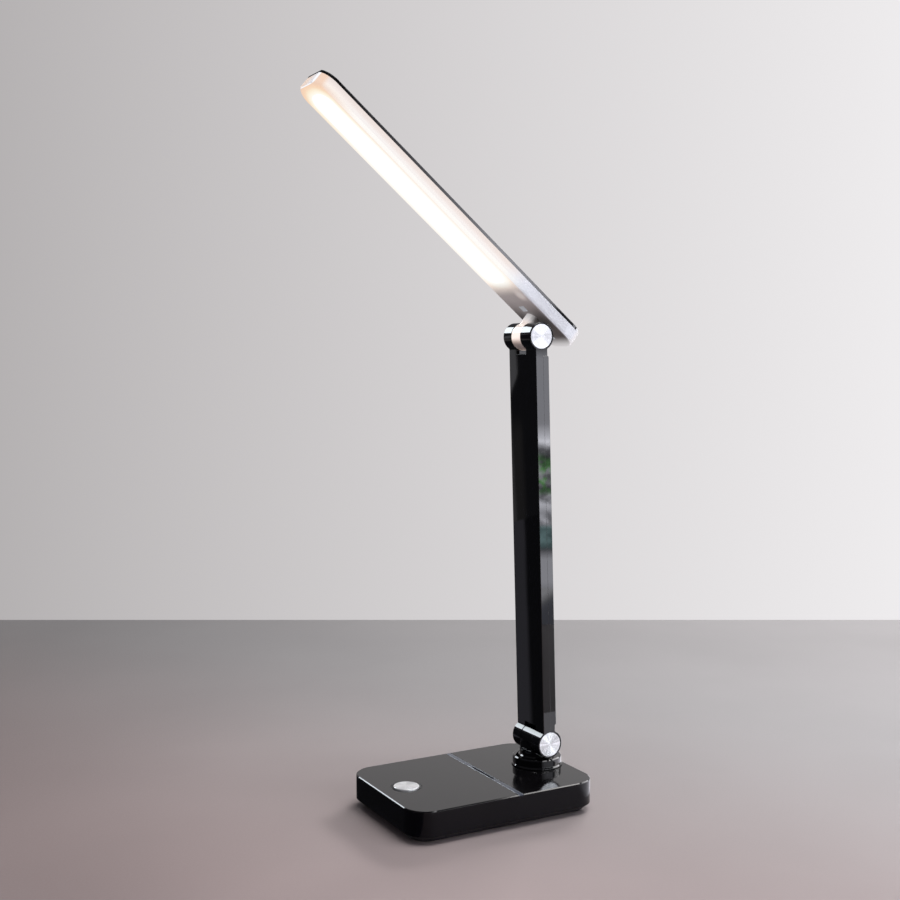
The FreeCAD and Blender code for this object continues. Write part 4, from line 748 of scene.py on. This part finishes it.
def card_material():
    """Glowing card in front of the lamp, mottled like leaves in its middle, that the camera doesn't see."""
    g = Graph("front_card")
    lateral, height = g.along(CARD_PLACE, CARD_ALONG, Z)
    level = g.ramp(g.math("DIVIDE", height, CARD_HEIGHT), [
        (at, (radiance,) * 3) for at, radiance in CARD_LEVELS])
    stretch = g.join(g.times(lateral, 30.0), 0.0, g.times(height, 34.0))
    patches = g.noise(stretch, 1.0, 3.0, 0.6)
    middle = g.times(g.span(height, 0.052, 0.065), g.span(height, 0.205, 0.185))
    factor = g.plus(1.0, g.times(middle, g.span(patches, 0.38, 0.62, -0.55, 0.9)))
    leaves = g.times(g.span(height, 0.124, 0.136), g.span(height, 0.188, 0.172))
    leafy = g.times(leaves, g.span(g.noise(stretch, 2.2, 2.0), 0.42, 0.56))
    low_leaves = g.times(g.span(height, 0.050, 0.058), g.span(height, 0.088, 0.080))
    tint = g.blend(low_leaves, (0.98, 0.985, 1.08), (0.72, 1.12, 1.15))
    tint = g.blend(leafy, tint, (0.50, 1.15, 0.45))
    path = g.add("ShaderNodeLightPath")
    light = g.span(height, *CARD_LIGHT_FADE, 0.0, CARD_SHARE_FOR_LIGHT)
    share = g.math("MAXIMUM", path.outputs["Is Glossy Ray"], light)
    glow = g.emission(g.vector("MULTIPLY", level, tint), g.times(factor, share))
    return g.done(g.mix_shaders(path.outputs["Is Camera Ray"], glow, g.clear()))


def card_foot_material():
    """Floor before the card's foot, for mirrored rays alone: it darkens towards the lamp, along a slant."""
    g = Graph("card_foot")
    across, away = g.along(FOOT_PLACE, FOOT_ACROSS, FOOT_TOWARD)
    far = g.plus(away, g.times(across, FOOT_SLANT))
    reach = FOOT_REACH[1]
    stops = [(at / reach, (radiance,) * 3) for at, radiance in FOOT_LEVELS]
    level = g.ramp(g.math("DIVIDE", far, reach), stops)
    tint = g.blend(g.span(far, 0.115, 0.165), (0.98, 0.985, 1.04), (0.94, 0.97, 1.14))
    return mirrored_only(g, g.vector("MULTIPLY", level, tint), once=True)


def build_room():
    """Floor, wall and the dark flags beside them."""
    reach = (-ROOM_REACH, ROOM_REACH)
    flat_mesh("floor", rectangle(Vector(), X, Y, reach, reach), floor_material())
    foot = LEVEL_AIM * WALL_DISTANCE
    rise = (0, WALL_HEIGHT)
    flat_mesh("wall", rectangle(foot, LEVEL_RIGHT, Z, (WALL_LEFT, WALL_RIGHT), rise), wall_material())
    flat_mesh("dark_flag", rectangle(foot, LEVEL_RIGHT, Z, (-ROOM_REACH, WALL_LEFT), rise), flag_material())
    corners = rectangle(Z * HOVER, LEVEL_RIGHT, LEVEL_AIM, FLOOR_FLAG_LATERAL, FLOOR_FLAG_DEPTH)
    flat_mesh("floor_flag", corners, floor_flag_material())


def build_cards():
    """Glowing cards that the object mirrors."""
    patch = mirrored_only(Graph("floor_card_pale"), GLOSS_PATCH_COLOUR, GLOSS_PATCH_RADIANCE)
    flat_mesh("floor_card", rectangle(Z * HOVER, X, Y, *GLOSS_PATCH), patch)
    for name, setup in MIRRORED_CARDS.items():
        (left, right), (low, high) = setup["turn"], setup["rise"]
        corners = []
        for turn, rise in ((left, low), (right, low), (right, high), (left, high)):
            turn, rise = math.radians(turn), math.radians(rise)
            ray = Vector((math.sin(turn) * math.cos(rise), math.cos(turn) * math.cos(rise), math.sin(rise)))
            corners.append(MIRROR_CENTRE + ray * MIRROR_DISTANCE)
        g = Graph(name)
        width = corners[1] - corners[0]
        across = g.along(corners[0], width.normalized())[0]
        strength = g.span(across, 0.0, width.length, *setup["radiance"], smooth=False)
        flat_mesh(name, corners, mirrored_only(g, setup["colour"], strength, setup["once"]))
    corners = rectangle(CARD_PLACE, CARD_ALONG, Z, (-CARD_HALF_WIDTH, CARD_HALF_WIDTH), (0, CARD_HEIGHT))
    flat_mesh("front_card", corners, card_material())
    width = (-FOOT_HALF_WIDTH, FOOT_HALF_WIDTH)
    corners = rectangle(FOOT_PLACE + Z * HOVER, FOOT_ACROSS, FOOT_TOWARD, width, FOOT_REACH)
    flat_mesh("card_foot", corners, card_foot_material())


def build_world():
    """Even soft light, with a paler colour where the camera looks past the room."""
    world = bpy.data.worlds.new("world")
    bpy.context.scene.world = world
    world.use_nodes = True
    nodes, links = world.node_tree.nodes, world.node_tree.links
    nodes.clear()
    path = nodes.new("ShaderNodeLightPath")
    mix = nodes.new("ShaderNodeMix")
    mix.data_type = "RGBA"
    links.new(path.outputs["Is Camera Ray"], mix.inputs[MIX_FACTOR])
    mix.inputs[MIX_A].default_value = WORLD_LIGHT + (1.0,)
    mix.inputs[MIX_B].default_value = WORLD_SEEN + (1.0,)
    back = nodes.new("ShaderNodeBackground")
    links.new(mix.outputs[MIX_RESULT], back.inputs["Color"])
    links.new(back.outputs[0], nodes.new("ShaderNodeOutputWorld").inputs["Surface"])


def build_lights():
    """Area lamps whose power gives their size the radiance asked for."""
    for name, setup in LIGHTS.items():
        data = bpy.data.lights.new(name, "AREA")
        data.shape = "RECTANGLE"
        data.size, data.size_y = setup["size"]
        data.color = setup["colour"]
        data.energy = setup["radiance"] * math.pi * data.size * data.size_y
        lamp = bpy.data.objects.new(name, data)
        lamp.location = setup["place"]
        aim = Vector(setup["aim"]) - Vector(setup["place"])
        lamp.rotation_euler = aim.to_track_quat("-Z", "Y").to_euler()
        lamp.visible_camera = False
        lamp.visible_glossy = setup.get("mirrored", True)
        bpy.context.scene.collection.objects.link(lamp)


def build_camera():
    """The photograph's camera."""
    data = bpy.data.cameras.new("camera")
    data.lens = CAMERA_LENS
    data.sensor_width = SENSOR
    data.clip_start = CAMERA_NEAR
    camera = bpy.data.objects.new("camera", data)
    camera.location = CAMERA_PLACE
    camera.rotation_euler = CAMERA_AIM.to_track_quat("-Z", "Y").to_euler()
    bpy.context.scene.collection.objects.link(camera)
    bpy.context.scene.camera = camera


build_camera()
dress_nodes()
build_room()
build_cards()
build_world()
build_lights()
bpy.context.scene.view_settings.view_transform = "Standard"
